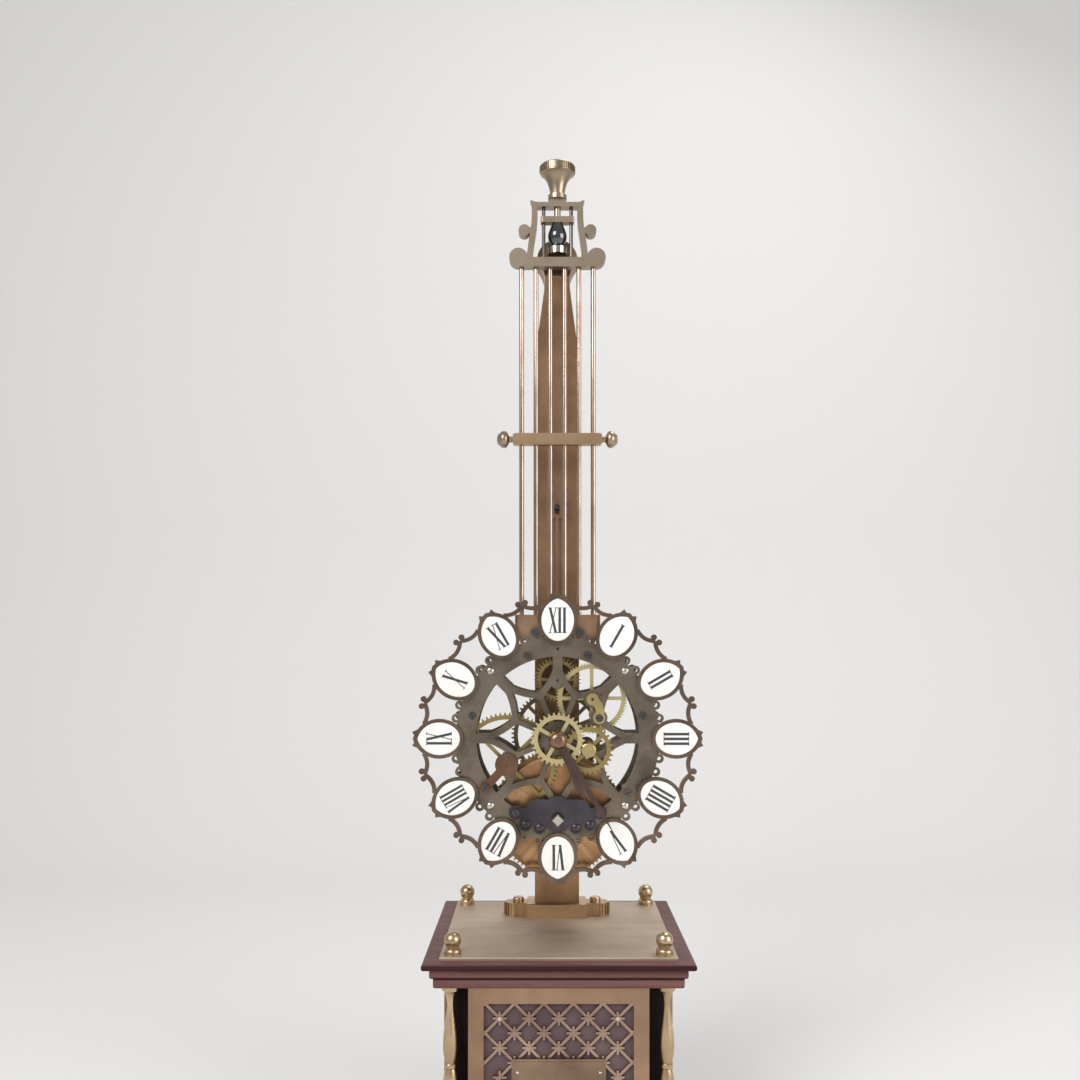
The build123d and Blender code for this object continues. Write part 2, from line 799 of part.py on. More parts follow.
with BuildPart() as yoke:
    with BuildSketch(facing(0, pivot_y + yoke_depth / 2, slab_z)):
        bar_middle = (yoke_bar_low + yoke_bar_top) / 2
        with Locations((0, bar_middle)):
            Rectangle(2 * yoke_lobe_x, yoke_bar_top - yoke_bar_low)
        with Locations((yoke_lobe_x, yoke_lobe_z), (-yoke_lobe_x, yoke_lobe_z)):
            Circle(yoke_lobe_radius)
        with Locations((yoke_ear_x, yoke_ear_z), (-yoke_ear_x, yoke_ear_z)):
            Circle(yoke_ear_radius)
        for side in (1, -1):
            with BuildLine():
                Spline(
                    (side * yoke_leg_x, (yoke_top_low + yoke_top_high) / 2),
                    (side * (yoke_leg_x + yoke_leg_spread * 0.1), yoke_ear_z + yoke_ear_radius),
                    (side * (yoke_leg_x + yoke_leg_spread * 0.5), yoke_ear_z - 1.6 * yoke_ear_radius),
                    (side * (yoke_leg_x + yoke_leg_spread), bar_middle),
                    tangents=((0, -1), (side * 0.1, -1)),
                )
            trace(line_width=yoke_leg_width)
            with BuildLine():
                Line((side * yoke_leg_x, yoke_ear_z), (side * yoke_ear_x, yoke_ear_z))
            trace(line_width=yoke_ear_radius)
        with BuildLine():
            outer = yoke_leg_x + yoke_leg_width / 2
            Polyline(
                (-outer, yoke_top_low),
                (outer, yoke_top_low),
                (outer, yoke_top_high - 1.0),
                (yoke_horn_x + 0.9, yoke_top_high + 1.2),
                (yoke_horn_x - 2.4, yoke_top_high),
                (yoke_boss_width / 2, yoke_top_high),
                (yoke_boss_width / 2 - 1.0, yoke_boss_top),
                (1.0 - yoke_boss_width / 2, yoke_boss_top),
                (-yoke_boss_width / 2, yoke_top_high),
                (2.4 - yoke_horn_x, yoke_top_high),
                (-yoke_horn_x - 0.9, yoke_top_high + 1.2),
                (-outer, yoke_top_high - 1.0),
                close=True,
            )
        make_face()
    extrude(amount=yoke_depth)
    with BuildSketch(Plane.XY.offset(slab_z + guide_low)):
        with Locations((guide_spacing / 2, pivot_y), (-guide_spacing / 2, pivot_y)):
            Circle(guide_diameter / 2 + seat_gap)
    extrude(amount=guide_high - guide_low, mode=Mode.SUBTRACT)
    with BuildSketch(Plane.XY.offset(slab_z + yoke_top_low)):
        with Locations((0, pivot_y)):
            Circle(rating_screw_diameter / 2 + running_gap)
    extrude(amount=yoke_boss_top - yoke_top_low, mode=Mode.SUBTRACT)
    with BuildSketch(Plane.XY.offset(slab_z + yoke_bar_low)):
        with Locations(*[(x, pivot_y) for x in rod_xs]):
            Circle(rod_diameter / 2 + seat_gap)
    extrude(amount=rod_seat, mode=Mode.SUBTRACT)
save(yoke, "yoke")

with BuildPart() as guide_posts:
    with BuildSketch(Plane.XY.offset(slab_z + guide_low)):
        with Locations((guide_spacing / 2, pivot_y), (-guide_spacing / 2, pivot_y)):
            Circle(guide_diameter / 2)
    extrude(amount=guide_high - guide_low)
save(guide_posts, "guide_posts")

with BuildPart() as rating_screw:
    screw_r = rating_screw_diameter / 2
    screw_end = block_low + block_thickness / 2
    ring_low = yoke_boss_top + running_gap
    ring_top = ring_low + knob_ring_height
    rim_low = knob_top - knob_rim_height
    stem_r, knob_r, ring_r = knob_stem_diameter / 2, knob_diameter / 2, knob_ring_diameter / 2
    with BuildSketch(about_pivot(0)):
        with BuildLine():
            Polyline(
                (0, knob_top),
                (0, screw_end),
                (screw_r, screw_end),
                (screw_r, ring_low),
                (ring_r, ring_low),
                (ring_r, ring_top),
                (stem_r, ring_top),
            )
            Spline(
                (stem_r, ring_top),
                (knob_r, rim_low),
                tangents=((0.12, 1), (1, 0.6)),
            )
            Polyline((knob_r, rim_low), (knob_r, knob_top - 0.8), (knob_r - 0.8, knob_top), (0, knob_top))
        make_face()
    revolve(axis=pivot_line)
save(rating_screw, "rating_screw")

# Gridiron

movement_top = dial_height + block_bottom + block_height

with BuildPart() as gridiron_rods:
    rod_low = slab_z + movement_top - rod_seat
    with BuildSketch(Plane.XY.offset(rod_low)):
        with Locations(*[(x, pivot_y) for x in rod_xs]):
            Circle(rod_diameter / 2)
    extrude(amount=slab_z + yoke_bar_low + rod_seat - rod_low)
save(gridiron_rods, "gridiron_rods")

with BuildPart() as crossbar:
    with BuildSketch(facing(0, pivot_y + crossbar_depth / 2, slab_z + crossbar_height)):
        RectangleRounded(crossbar_width, crossbar_thickness, crossbar_thickness * 0.25)
    extrude(amount=crossbar_depth)
    with BuildSketch(Plane.XY.offset(slab_z + crossbar_height - crossbar_thickness)):
        with Locations(*[(x, pivot_y) for x in rod_xs]):
            Circle(rod_diameter / 2 + seat_gap)
    extrude(amount=2 * crossbar_thickness, mode=Mode.SUBTRACT)
save(crossbar, "crossbar")

with BuildPart() as crossbar_knobs:
    with BuildSketch(facing(0, pivot_y, slab_z + crossbar_height)):
        with BuildLine():
            neck_end = crossbar_width / 2 + button_neck_width
            Polyline(
                (crossbar_width / 2, 0),
                (crossbar_width / 2, button_neck / 2),
                (neck_end, button_neck / 2),
                (neck_end + button_width * 0.2, button_diameter * 0.44),
            )
            ThreePointArc(
                (neck_end + button_width * 0.2, button_diameter * 0.44),
                (neck_end + button_width * 0.42, button_diameter / 2),
                (neck_end + button_width * 0.7, button_diameter * 0.42),
            )
            Polyline(
                (neck_end + button_width * 0.7, button_diameter * 0.42),
                (neck_end + button_width * 0.94, button_diameter * 0.27),
                (neck_end + button_width, button_diameter * 0.12),
                (neck_end + button_width, 0),
                (crossbar_width / 2, 0),
            )
        make_face()
    revolve(axis=Axis((0, pivot_y, slab_z + crossbar_height), (1, 0, 0)))
    mirror(about=Plane.YZ)
save(crossbar_knobs, "crossbar_knobs")

# Movement frame

with BuildPart() as movement_block:
    with BuildSketch(Plane.XY.offset(dial_z + block_bottom)):
        with Locations((0, (inner_front_y + inner_back_y) / 2)):
            Rectangle(2 * block_half_width, plate_gap)
    extrude(amount=block_height)
    fillet(movement_block.edges().filter_by(Axis.Z), 2.0)
    with BuildSketch(Plane.XY.offset(dial_z + block_bottom + block_height)):
        with Locations(*[(x, pivot_y) for x in rod_xs]):
            Circle(rod_diameter / 2 + seat_gap)
    extrude(amount=-rod_seat, mode=Mode.SUBTRACT)
    for x in (-tab_screw_spacing / 2, tab_screw_spacing / 2):
        with BuildSketch(on_dial((x, tab_screw_height), inner_back_y)):
            Circle(screw_shank / 2 + seat_gap)
        extrude(amount=plate_gap, mode=Mode.SUBTRACT)
save(movement_block, "movement_block")

arm_angles = [i * 360 / arm_count for i in range(arm_count)]
half_step = 180 / arm_count
pillar_places = [polar(pillar_circle, angle) for angle in pillar_angles]
tab_places = [(-tab_screw_spacing / 2, tab_screw_height), (tab_screw_spacing / 2, tab_screw_height)]
foot_places = [bridge_foot_xz, (-bridge_foot_xz[0], bridge_foot_xz[1]), cock_foot_xz, third_cock_foot_xz]

with BuildSketch() as tracery:
    Circle(ring_outer)
    Circle(ring_inner, mode=Mode.SUBTRACT)
    for start in (half_step / 2, -half_step / 2):
        with PolarLocations(scroll_circle, 12, start_angle=start):
            Circle(scroll_outer)
    for angle in arm_angles:
        with BuildLine():
            Line(polar(ring_inner + arm_width / 2, angle), polar(arm_split, angle))
        trace(line_width=arm_width)
        for turn in (half_step, -half_step):
            with BuildLine():
                ThreePointArc(
                    polar(arm_split + arm_width / 2, angle),
                    polar((arm_split + branch_circle) / 2, angle + turn * 0.32),
                    polar(branch_circle, angle + turn),
                )
            trace(line_width=branch_width)
    with PolarLocations((branch_circle + hub_outer) / 2, arm_count, start_angle=half_step):
        Rectangle(branch_circle - hub_outer + 2, spoke_bar)
    with PolarLocations(branch_circle, arm_count, start_angle=half_step):
        Circle(branch_width * 0.75)
    Circle(hub_outer)
    with Locations(escape_xz, third_xz, intermediate_xz, minute_xz, third_cock_foot_xz):
        Circle(boss_radius)
    with Locations(barrel_xz):
        Circle(barrel_boss_radius)
    for x, z in tab_places:
        with BuildLine():
            Line((x, ring_inner + tab_width / 2), (x, z))
        trace(line_width=tab_width)
        with Locations((x, z)):
            Circle(tab_width / 2)
    for start in (half_step / 2, -half_step / 2):
        with PolarLocations(scroll_circle, 12, start_angle=start):
            Circle(scroll_hole, mode=Mode.SUBTRACT)
    with Locations(*pillar_places, *tab_places):
        Circle(screw_shank / 2 + seat_gap, mode=Mode.SUBTRACT)

with BuildPart() as front_plate:
    with BuildSketch(on_dial(centre_xz, inner_front_y)):
        add(tracery.sketch)
        with Locations(centre_xz):
            Circle(arbor_radius + running_gap, mode=Mode.SUBTRACT)
        with Locations(escape_xz, pallet_xz):
            Circle(pivot_radius + running_gap, mode=Mode.SUBTRACT)
        with Locations(third_xz, intermediate_xz):
            Circle(pivot_radius + free_gap, mode=Mode.SUBTRACT)
        with Locations(barrel_xz):
            Circle(winding_radius + free_gap, mode=Mode.SUBTRACT)
        with Locations(minute_xz):
            Circle(stud_radius + seat_gap, mode=Mode.SUBTRACT)
        with Locations(*foot_places):
            Circle(screw_shank / 2 + seat_gap, mode=Mode.SUBTRACT)
    extrude(amount=plate_thickness)
save(front_plate, "front_plate")

with BuildPart() as back_plate:
    with BuildSketch(on_dial(centre_xz, back_plate_y)):
        add(tracery.sketch)
        with Locations(centre_xz, third_xz, intermediate_xz, escape_xz):
            Circle(pivot_radius + running_gap, mode=Mode.SUBTRACT)
        with Locations(pallet_xz):
            Circle(arbor_radius + running_gap, mode=Mode.SUBTRACT)
        with Locations(barrel_xz):
            Circle(winding_radius + running_gap, mode=Mode.SUBTRACT)
        with Locations(click_xz):
            Circle(click_pin_diameter / 2 + seat_gap, mode=Mode.SUBTRACT)
    extrude(amount=plate_thickness)
save(back_plate, "back_plate")

with BuildPart() as plate_pillars:
    for place in pillar_places:
        with BuildSketch(on_dial(place, inner_back_y)):
            Circle(pillar_radius)
            Circle(screw_shank / 2 + seat_gap, mode=Mode.SUBTRACT)
        extrude(amount=plate_gap)
        for end in (inner_back_y, inner_front_y + pillar_radius):
            with BuildSketch(on_dial(place, end)):
                Circle(pillar_radius * 1.4)
                Circle(screw_shank / 2 + seat_gap, mode=Mode.SUBTRACT)
            extrude(amount=pillar_radius)
save(plate_pillars, "plate_pillars")


def screw(xz, seat_y, length, forward):
    """Screw whose head stands on a face and whose shank goes the other way."""
    way = 1 if forward else -1
    rod_along_y(xz, seat_y, seat_y - way * screw_head_height, screw_head / 2)
    rod_along_y(xz, seat_y, seat_y + way * length, screw_shank / 2)


with BuildPart() as plate_screws:
    for place in pillar_places + tab_places:
        screw(place, front_plate_y, plate_thickness + screw_length, True)
        screw(place, back_plate_y, plate_thickness + screw_length, False)
    for place in foot_places:
        screw(place, front_plate_y - bridge_thickness, bridge_thickness + plate_thickness, True)
    rod_along_y(click_xz, back_plate_y + ratchet_gap + ratchet_thickness, inner_back_y, click_pin_diameter / 2)
    click_head_y = back_plate_y + ratchet_gap + ratchet_thickness + running_gap + screw_head_height
    rod_along_y(click_xz, click_head_y, click_head_y - screw_head_height - running_gap, click_pin_diameter / 2)
    rod_along_y(click_xz, click_head_y, click_head_y - screw_head_height, screw_head / 2)
save(plate_screws, "plate_screws")

# Dial


def plaque_face(grow):
    """Outline of an hour plaque, pointed outwards, made larger all round by grow."""
    half, wide = plaque_half_width + grow, plaque_wide_circle
    tip, inner = plaque_tip + 1.3 * grow, plaque_inner - grow
    rise = tip - wide
    centre_x = (half ** 2 - rise ** 2) / (2 * half)
    radius = half - centre_x
    lean = degrees(atan2(rise, -centre_x)) / 2
    shoulder = (centre_x + radius * cos(radians(lean)), wide + radius * sin(radians(lean)))
    with BuildSketch() as face:
        with BuildLine():
            ThreePointArc((half, wide), shoulder, (0, tip))
            ThreePointArc((0, tip), (-shoulder[0], shoulder[1]), (-half, wide))
            EllipticalCenterArc((0, wide), half, wide - inner, start_angle=180, arc_size=180)
        make_face()
    return face.sketch


hour_angles = [i * 30 for i in range(12)]

with BuildSketch() as hour_frame:
    add(plaque_face(frame_width))
    for side in (1, -1):
        with BuildLine():
            Polyline(
                (side * frame_width * 0.6, plaque_tip + frame_width * 0.6),
                (side * spur_offset, spur_circle),
                (side * spur_offset * 1.6, plaque_tip - frame_width * 1.4),
                (side * frame_width * 0.6, plaque_tip - frame_width),
                close=True,
            )
        make_face()
        with BuildLine():
            Spline(
                polar(link_dip + 1.2, 90 - side * 6.2),
                polar(link_dip, 90 - side * 10.4),
                polar(curl_circle - curl_radius * 0.6, 90 - side * 15),
            )
        trace(line_width=link_width)
        with Locations(Location((0, 0, 0), -side * 15)):
            with Locations((-side * curl_offset, curl_circle)):
                Circle(curl_radius)

with BuildSketch() as chapter_shape:
    for angle in hour_angles:
        add(hour_frame.sketch.rotate(Axis.Z, angle))

with BuildSketch() as plaque_holes:
    for angle in hour_angles:
        add(plaque_face(seat_gap).rotate(Axis.Z, angle))

with BuildSketch() as lip_holes:
    for angle in hour_angles:
        add(plaque_face(-plaque_lip).rotate(Axis.Z, angle))

with BuildPart() as chapter_ring:
    with BuildSketch(on_dial(centre_xz, front_plate_y)):
        add(chapter_shape.sketch)
        add(lip_holes.sketch, mode=Mode.SUBTRACT)
    extrude(amount=lip_thickness)
    with BuildSketch(on_dial(centre_xz, front_plate_y - lip_thickness)):
        add(chapter_shape.sketch)
        add(plaque_holes.sketch, mode=Mode.SUBTRACT)
    extrude(amount=chapter_thickness - lip_thickness)
save(chapter_ring, "chapter_ring")

with BuildPart() as plaque:
    with BuildSketch(on_dial(centre_xz, front_plate_y - lip_thickness)):
        add(plaque_face(0))
    extrude(amount=plaque_thickness)
    fillet(plaque.faces().sort_by(Axis.Y)[0].edges(), plaque_thickness * 0.35)

with BuildPart() as enamel_plaques:
    dial_line = Axis((0, 0, dial_z), (0, 1, 0))
    for angle in hour_angles:
        add(plaque.part.rotate(dial_line, angle))
save(enamel_plaques, "enamel_plaques")

# Bridges on the front plate

with BuildPart() as winding_bridge:
    with BuildSketch(on_dial(centre_xz, front_plate_y)):
        with Locations(barrel_xz, (barrel_xz[0], barrel_xz[1] + bridge_hump)):
            Circle(bridge_radius)
        with Locations((barrel_xz[0], barrel_xz[1] + bridge_hump * 0.8)):
            SlotOverall(bridge_width, bridge_height)
        for side in (1, -1):
            foot = (side * bridge_foot_xz[0], bridge_foot_xz[1])
            with BuildLine():
                Line(barrel_xz, foot)
            trace(line_width=bridge_lobe * 1.6)
            with Locations(foot):
                Circle(bridge_lobe)
            with Locations(*[(side * x, z) for x, z in bridge_lobe_places]):
                Circle(bridge_lobe * 0.9)
        with Locations(*foot_places[:2]):
            Circle(screw_shank / 2 + seat_gap, mode=Mode.SUBTRACT)
        with Locations(barrel_xz):
            Circle(winding_radius + running_gap, mode=Mode.SUBTRACT)
    extrude(amount=bridge_thickness)
save(winding_bridge, "winding_bridge")

with BuildPart() as intermediate_cock:
    with BuildSketch(on_dial(centre_xz, front_plate_y)):
        with Locations(intermediate_xz):
            Circle(cock_disc)
        with BuildLine():
            Line(intermediate_xz, cock_foot_xz)
        trace(line_width=cock_arm)
        with Locations(cock_foot_xz):
            Circle(cock_arm * 0.7)
            Circle(screw_shank / 2 + seat_gap, mode=Mode.SUBTRACT)
        with Locations(intermediate_xz):
            Circle(pivot_radius + running_gap, mode=Mode.SUBTRACT)
    extrude(amount=bridge_thickness)
save(intermediate_cock, "intermediate_cock")

with BuildPart() as third_cock:
    with BuildSketch(on_dial(centre_xz, front_plate_y)):
        middle_x = (third_xz[0] + third_cock_foot_xz[0]) / 2
        middle_z = (third_xz[1] + third_cock_foot_xz[1]) / 2
        with BuildLine():
            ThreePointArc(third_xz, (middle_x + third_cock_radius * 0.6, middle_z), third_cock_foot_xz)
        trace(line_width=third_cock_radius * 1.4)
        with Locations(third_xz, third_cock_foot_xz):
            Circle(third_cock_radius)
        with Locations(third_xz):
            Circle(pivot_radius + running_gap, mode=Mode.SUBTRACT)
        with Locations(third_cock_foot_xz):
            Circle(screw_shank / 2 + seat_gap, mode=Mode.SUBTRACT)
    extrude(amount=bridge_thickness)
save(third_cock, "third_cock")

with BuildPart() as minute_stud:
    rod_along_y(minute_xz, inner_front_y, stud_front, stud_radius)
    rod_along_y(minute_xz, stud_front + stud_cap_thickness, stud_front, stud_cap_radius)
    fillet(minute_stud.faces().sort_by(Axis.Y)[0].edges(), stud_cap_thickness * 0.6)
save(minute_stud, "minute_stud")

# Barrel and winding work

drum_rear_y = drum_front_y + drum_length
great_pitch = pitch_radius(great_teeth, intermediate_leaves, spacing(barrel_xz, intermediate_xz))

with BuildPart() as great_wheel:
    towards = heading(barrel_xz, intermediate_xz)
    teeth_face = gear_face(on_dial(barrel_xz, drum_rear_y + great_thickness), great_teeth, great_pitch,
                           mesh_phase(great_teeth, towards))
    extrude(to_extrude=teeth_face, amount=great_thickness)
    with BuildSketch(on_dial(barrel_xz, drum_rear_y + great_thickness)):
        Circle(winding_radius + running_gap)
    extrude(amount=great_thickness, mode=Mode.SUBTRACT)
save(great_wheel, "great_wheel")

with BuildPart() as barrel_drum:
    with BuildSketch(on_dial(barrel_xz, drum_rear_y)):
        Circle(drum_radius)
        Circle(winding_radius + running_gap, mode=Mode.SUBTRACT)
    extrude(amount=drum_length)
    with BuildSketch(on_dial(barrel_xz, drum_rear_y - drum_wall)):
        Circle(drum_radius - drum_wall)
    extrude(amount=drum_length, mode=Mode.SUBTRACT)
save(barrel_drum, "barrel_drum")

with BuildPart() as barrel_cover:
    with BuildSketch(on_dial(barrel_xz, drum_front_y + cover_thickness)):
        Circle(drum_radius - drum_wall - seat_gap)
        Circle(winding_radius + running_gap, mode=Mode.SUBTRACT)
    extrude(amount=cover_thickness)
save(barrel_cover, "barrel_cover")

with BuildPart() as mainspring:
    spring_inner = winding_radius + 2.5
    spring_outer = drum_radius - drum_wall - spring_thickness / 2 - seat_gap
    grow = (spring_outer - spring_inner) / (2 * spring_turns)
    half_turns = range(2 * spring_turns)
    with BuildSketch(on_dial(barrel_xz, drum_rear_y - drum_wall - spring_gap)):
        with BuildLine():
            for edge in (-spring_thickness / 2, spring_thickness / 2):
                for i in half_turns:
                    CenterArc(((i % 2) * grow, 0), spring_inner + i * grow + edge, 180 * (i % 2), 180)
            last = spring_inner + (2 * spring_turns - 1) * grow + grow
            Line((spring_inner - spring_thickness / 2, 0), (spring_inner + spring_thickness / 2, 0))
            Line((last - spring_thickness / 2, 0), (last + spring_thickness / 2, 0))
        make_face()
    extrude(amount=drum_length - drum_wall - cover_thickness - 2 * spring_gap)
save(mainspring, "mainspring")

ratchet_rear_y = back_plate_y + ratchet_gap + ratchet_thickness

with BuildPart() as winding_arbor:
    rod_along_y(barrel_xz, ratchet_rear_y, front_plate_y - bridge_thickness, winding_radius)
    with BuildSketch(on_dial(barrel_xz, front_plate_y - bridge_thickness)):
        Rectangle(winding_square, winding_square, rotation=45)
    extrude(amount=front_plate_y - bridge_thickness - winding_front_y)
    chamfer(winding_arbor.faces().sort_by(Axis.Y)[0].edges(), winding_square * 0.1)
save(winding_arbor, "winding_arbor")

with BuildPart() as ratchet_wheel:
    with BuildSketch(on_dial(barrel_xz, ratchet_rear_y)):
        saw = []
        for i in range(ratchet_teeth):
            saw.append(polar(ratchet_radius, i * 360 / ratchet_teeth))
            saw.append(polar(ratchet_radius * 0.84, i * 360 / ratchet_teeth + 2))
        with BuildLine():
            Polyline(*saw, close=True)
        make_face()
        Circle(winding_radius + seat_gap, mode=Mode.SUBTRACT)
    extrude(amount=ratchet_thickness)
save(ratchet_wheel, "ratchet_wheel")

click_point = polar(ratchet_radius + click_clear + 0.6, click_tip_angle)
click_tip = (barrel_xz[0] + click_point[0], barrel_xz[1] + click_point[1])

with BuildPart() as click:
    with BuildSketch(on_dial(centre_xz, ratchet_rear_y)):
        with Locations(click_xz):
            Circle(click_radius)
        with Locations(click_tip):
            Circle(0.6)
        make_hull()
        with Locations(click_xz):
            Circle(click_pin_diameter / 2 + running_gap, mode=Mode.SUBTRACT)
    extrude(amount=ratchet_thickness)
save(click, "click")

with BuildPart() as click_spring:
    spring_end = (click_xz[0] + click_radius * 1.08, click_xz[1] + click_radius * 0.68)
    spring_foot = (click_xz[0] + 4.4 * click_radius, click_xz[1] + 1.9 * click_radius)
    with BuildSketch(on_dial(centre_xz, back_plate_y + ratchet_gap + ratchet_thickness)):
        with BuildLine():
            Line(spring_end, spring_foot)
        trace(line_width=click_spring_width)
        with Locations(spring_foot):
            Circle(click_radius * 0.7)
    extrude(amount=ratchet_thickness)
    with BuildSketch(on_dial(spring_foot, back_plate_y + ratchet_gap)):
        Circle(click_radius * 0.7)
    extrude(amount=ratchet_gap)
save(click_spring, "click_spring")

# Going train

intermediate_pitch = pitch_radius(intermediate_teeth, centre_leaves, spacing(intermediate_xz, centre_xz))
centre_pitch = pitch_radius(centre_teeth, third_leaves, spacing(centre_xz, third_xz))
third_pitch = pitch_radius(third_teeth, escape_leaves, spacing(third_xz, escape_xz))


def pinion(xz, mate_xz, leaves, mate_teeth, rear, length):
    """Pinion with a gap turned towards its mate."""
    pitch = pitch_radius(leaves, mate_teeth, spacing(xz, mate_xz))
    phase = mesh_phase(leaves, heading(xz, mate_xz), tooth=False)
    extrude(to_extrude=gear_face(on_dial(xz, rear), leaves, pitch, phase, slim=0.17), amount=length)


def train_wheel(xz, mate_xz, teeth, pitch, rear, spokes, turn=spoke_turn):
    """Crossed-out wheel with a tooth turned towards its mate."""
    phase = mesh_phase(teeth, heading(xz, mate_xz))
    wheel_face = spoked_gear(on_dial(xz, rear), teeth, pitch, phase, spokes, arbor_radius + seat_gap, turn)
    extrude(to_extrude=wheel_face, amount=wheel_thickness)


end_shake = 0.15
arbor_rear = inner_back_y - end_shake
arbor_front = inner_front_y + end_shake
rear_pivot = back_plate_y - plate_thickness * 0.2
front_pivot = front_plate_y + plate_thickness * 0.2
cock_pivot = front_plate_y - bridge_thickness * 0.8

with BuildPart() as intermediate_wheel:
    train_wheel(intermediate_xz, centre_xz, intermediate_teeth, intermediate_pitch, intermediate_wheel_y, 4)
save(intermediate_wheel, "intermediate_wheel")

with BuildPart() as intermediate_arbor:
    arbor(intermediate_xz, rear_pivot, arbor_rear, arbor_front, cock_pivot)
    pinion(intermediate_xz, barrel_xz, intermediate_leaves, great_teeth, intermediate_pinion_y, pinion_length)
save(intermediate_arbor, "intermediate_arbor")

with BuildPart() as centre_wheel:
    train_wheel(centre_xz, third_xz, centre_teeth, centre_pitch, centre_wheel_y, 4)
save(centre_wheel, "centre_wheel")

with BuildPart() as centre_arbor:
    rod_along_y(centre_xz, arbor_rear, centre_front, arbor_radius)
    rod_along_y(centre_xz, rear_pivot, arbor_rear, pivot_radius)
    pinion(centre_xz, intermediate_xz, centre_leaves, intermediate_teeth, centre_pinion_y, pinion_length)
save(centre_arbor, "centre_arbor")

with BuildPart() as third_wheel:
    train_wheel(third_xz, escape_xz, third_teeth, third_pitch, third_wheel_y, 4, third_spoke_turn)
save(third_wheel, "third_wheel")

with BuildPart() as third_arbor:
    arbor(third_xz, rear_pivot, arbor_rear, arbor_front, cock_pivot)
    pinion(third_xz, centre_xz, third_leaves, centre_teeth, third_pinion_y, pinion_length * 0.75)
save(third_arbor, "third_arbor")

with BuildPart() as escape_wheel:
    with BuildSketch(on_dial(escape_xz, escape_wheel_y)):
        saw = []
        step = 360 / escape_teeth
        for i in range(escape_teeth):
            saw.append(polar(escape_radius, i * step))
            saw.append(polar(escape_radius, i * step + step * 0.12))
            saw.append(polar(escape_radius - escape_tooth_height, i * step + step * 0.45))
            saw.append(polar(escape_radius - escape_tooth_height, i * step + step * 0.8))
        with BuildLine():
            Polyline(*saw, close=True)
        make_face()
        escape_rim = escape_radius - escape_tooth_height - rim_width * 0.7
        Circle(escape_rim, mode=Mode.SUBTRACT)
        with PolarLocations(escape_rim / 2, 4):
            Rectangle(escape_rim + 1, spoke_width * 0.8)
        Circle(hub_radius * 0.8)
        Circle(arbor_radius + seat_gap, mode=Mode.SUBTRACT)
    extrude(amount=wheel_thickness)
save(escape_wheel, "escape_wheel")

with BuildPart() as escape_arbor:
    arbor(escape_xz, rear_pivot, arbor_rear, arbor_front, front_pivot)
    pinion(escape_xz, third_xz, escape_leaves, third_teeth, escape_pinion_y, pinion_length)
save(escape_arbor, "escape_arbor")

# Pallets and crutch

pallet_drop = spacing(pallet_xz, escape_xz)
nib_lean = 42.0                     # degrees from the line of centres
nib_reach = pallet_drop * radians(pallet_swing) * sin(radians(nib_lean)) + pallet_clear
nib_circle = escape_radius + nib_reach

with BuildPart() as pallets:
    with BuildSketch(on_dial(escape_xz, escape_wheel_y + (pallet_thickness - wheel_thickness) / 2)):
        with Locations((0, pallet_drop)):
            Circle(pallet_hub)
        for side in (1, -1):
            with BuildLine():
                ThreePointArc(
                    (0, pallet_drop),
                    polar(nib_circle + pallet_arm * 0.7, 90 - side * nib_lean / 2),
                    polar(nib_circle + pallet_arm * 0.3, 90 - side * nib_lean),
                )
            trace(line_width=pallet_arm)
        Circle(nib_circle, mode=Mode.SUBTRACT)
    extrude(amount=pallet_thickness)
    rod_along_y(pallet_xz, crutch_y, arbor_front, arbor_radius)
    rod_along_y(pallet_xz, arbor_front, front_pivot, pivot_radius)
save(pallets, "pallets")

pin_rise = pin_height - dial_height

with BuildPart() as crutch:
    with BuildSketch(on_dial(centre_xz, crutch_y)):
        with Locations(pallet_xz):
            Circle(crutch_hub)
        with BuildLine():
            Line(pallet_xz, (0, pin_rise - fork_slot / 2))
        trace(line_width=crutch_width)
        with Locations((0, pin_rise)):
            RectangleRounded(fork_width, fork_length, fork_width * 0.2)
        with Locations((0, pin_rise + fork_slot / 2)):
            Rectangle(pin_diameter + 2 * free_gap, 2 * fork_slot, mode=Mode.SUBTRACT)
        with Locations(pallet_xz):
            Circle(arbor_radius + seat_gap, mode=Mode.SUBTRACT)
    extrude(amount=crutch_thickness)
save(crutch, "crutch")

# Motion work and hands

motion_spacing = spacing(centre_xz, minute_xz)
minute_heading = heading(minute_xz, centre_xz)

with BuildPart() as cannon_pinion:
    pitch = pitch_radius(cannon_leaves, minute_teeth, motion_spacing)
    leaves_face = gear_face(on_dial(centre_xz, cannon_y), cannon_leaves, pitch,
                            mesh_phase(cannon_leaves, heading(centre_xz, minute_xz)), slim=0.17)
    extrude(to_extrude=leaves_face, amount=cannon_length)
    rod_along_y(centre_xz, front_plate_y - end_shake, cannon_pipe_front, cannon_pipe_radius)
    with BuildSketch(on_dial(centre_xz, front_plate_y)):
        Circle(arbor_radius + seat_gap)
    extrude(amount=front_plate_y - cannon_pipe_front, mode=Mode.SUBTRACT)
save(cannon_pinion, "cannon_pinion")

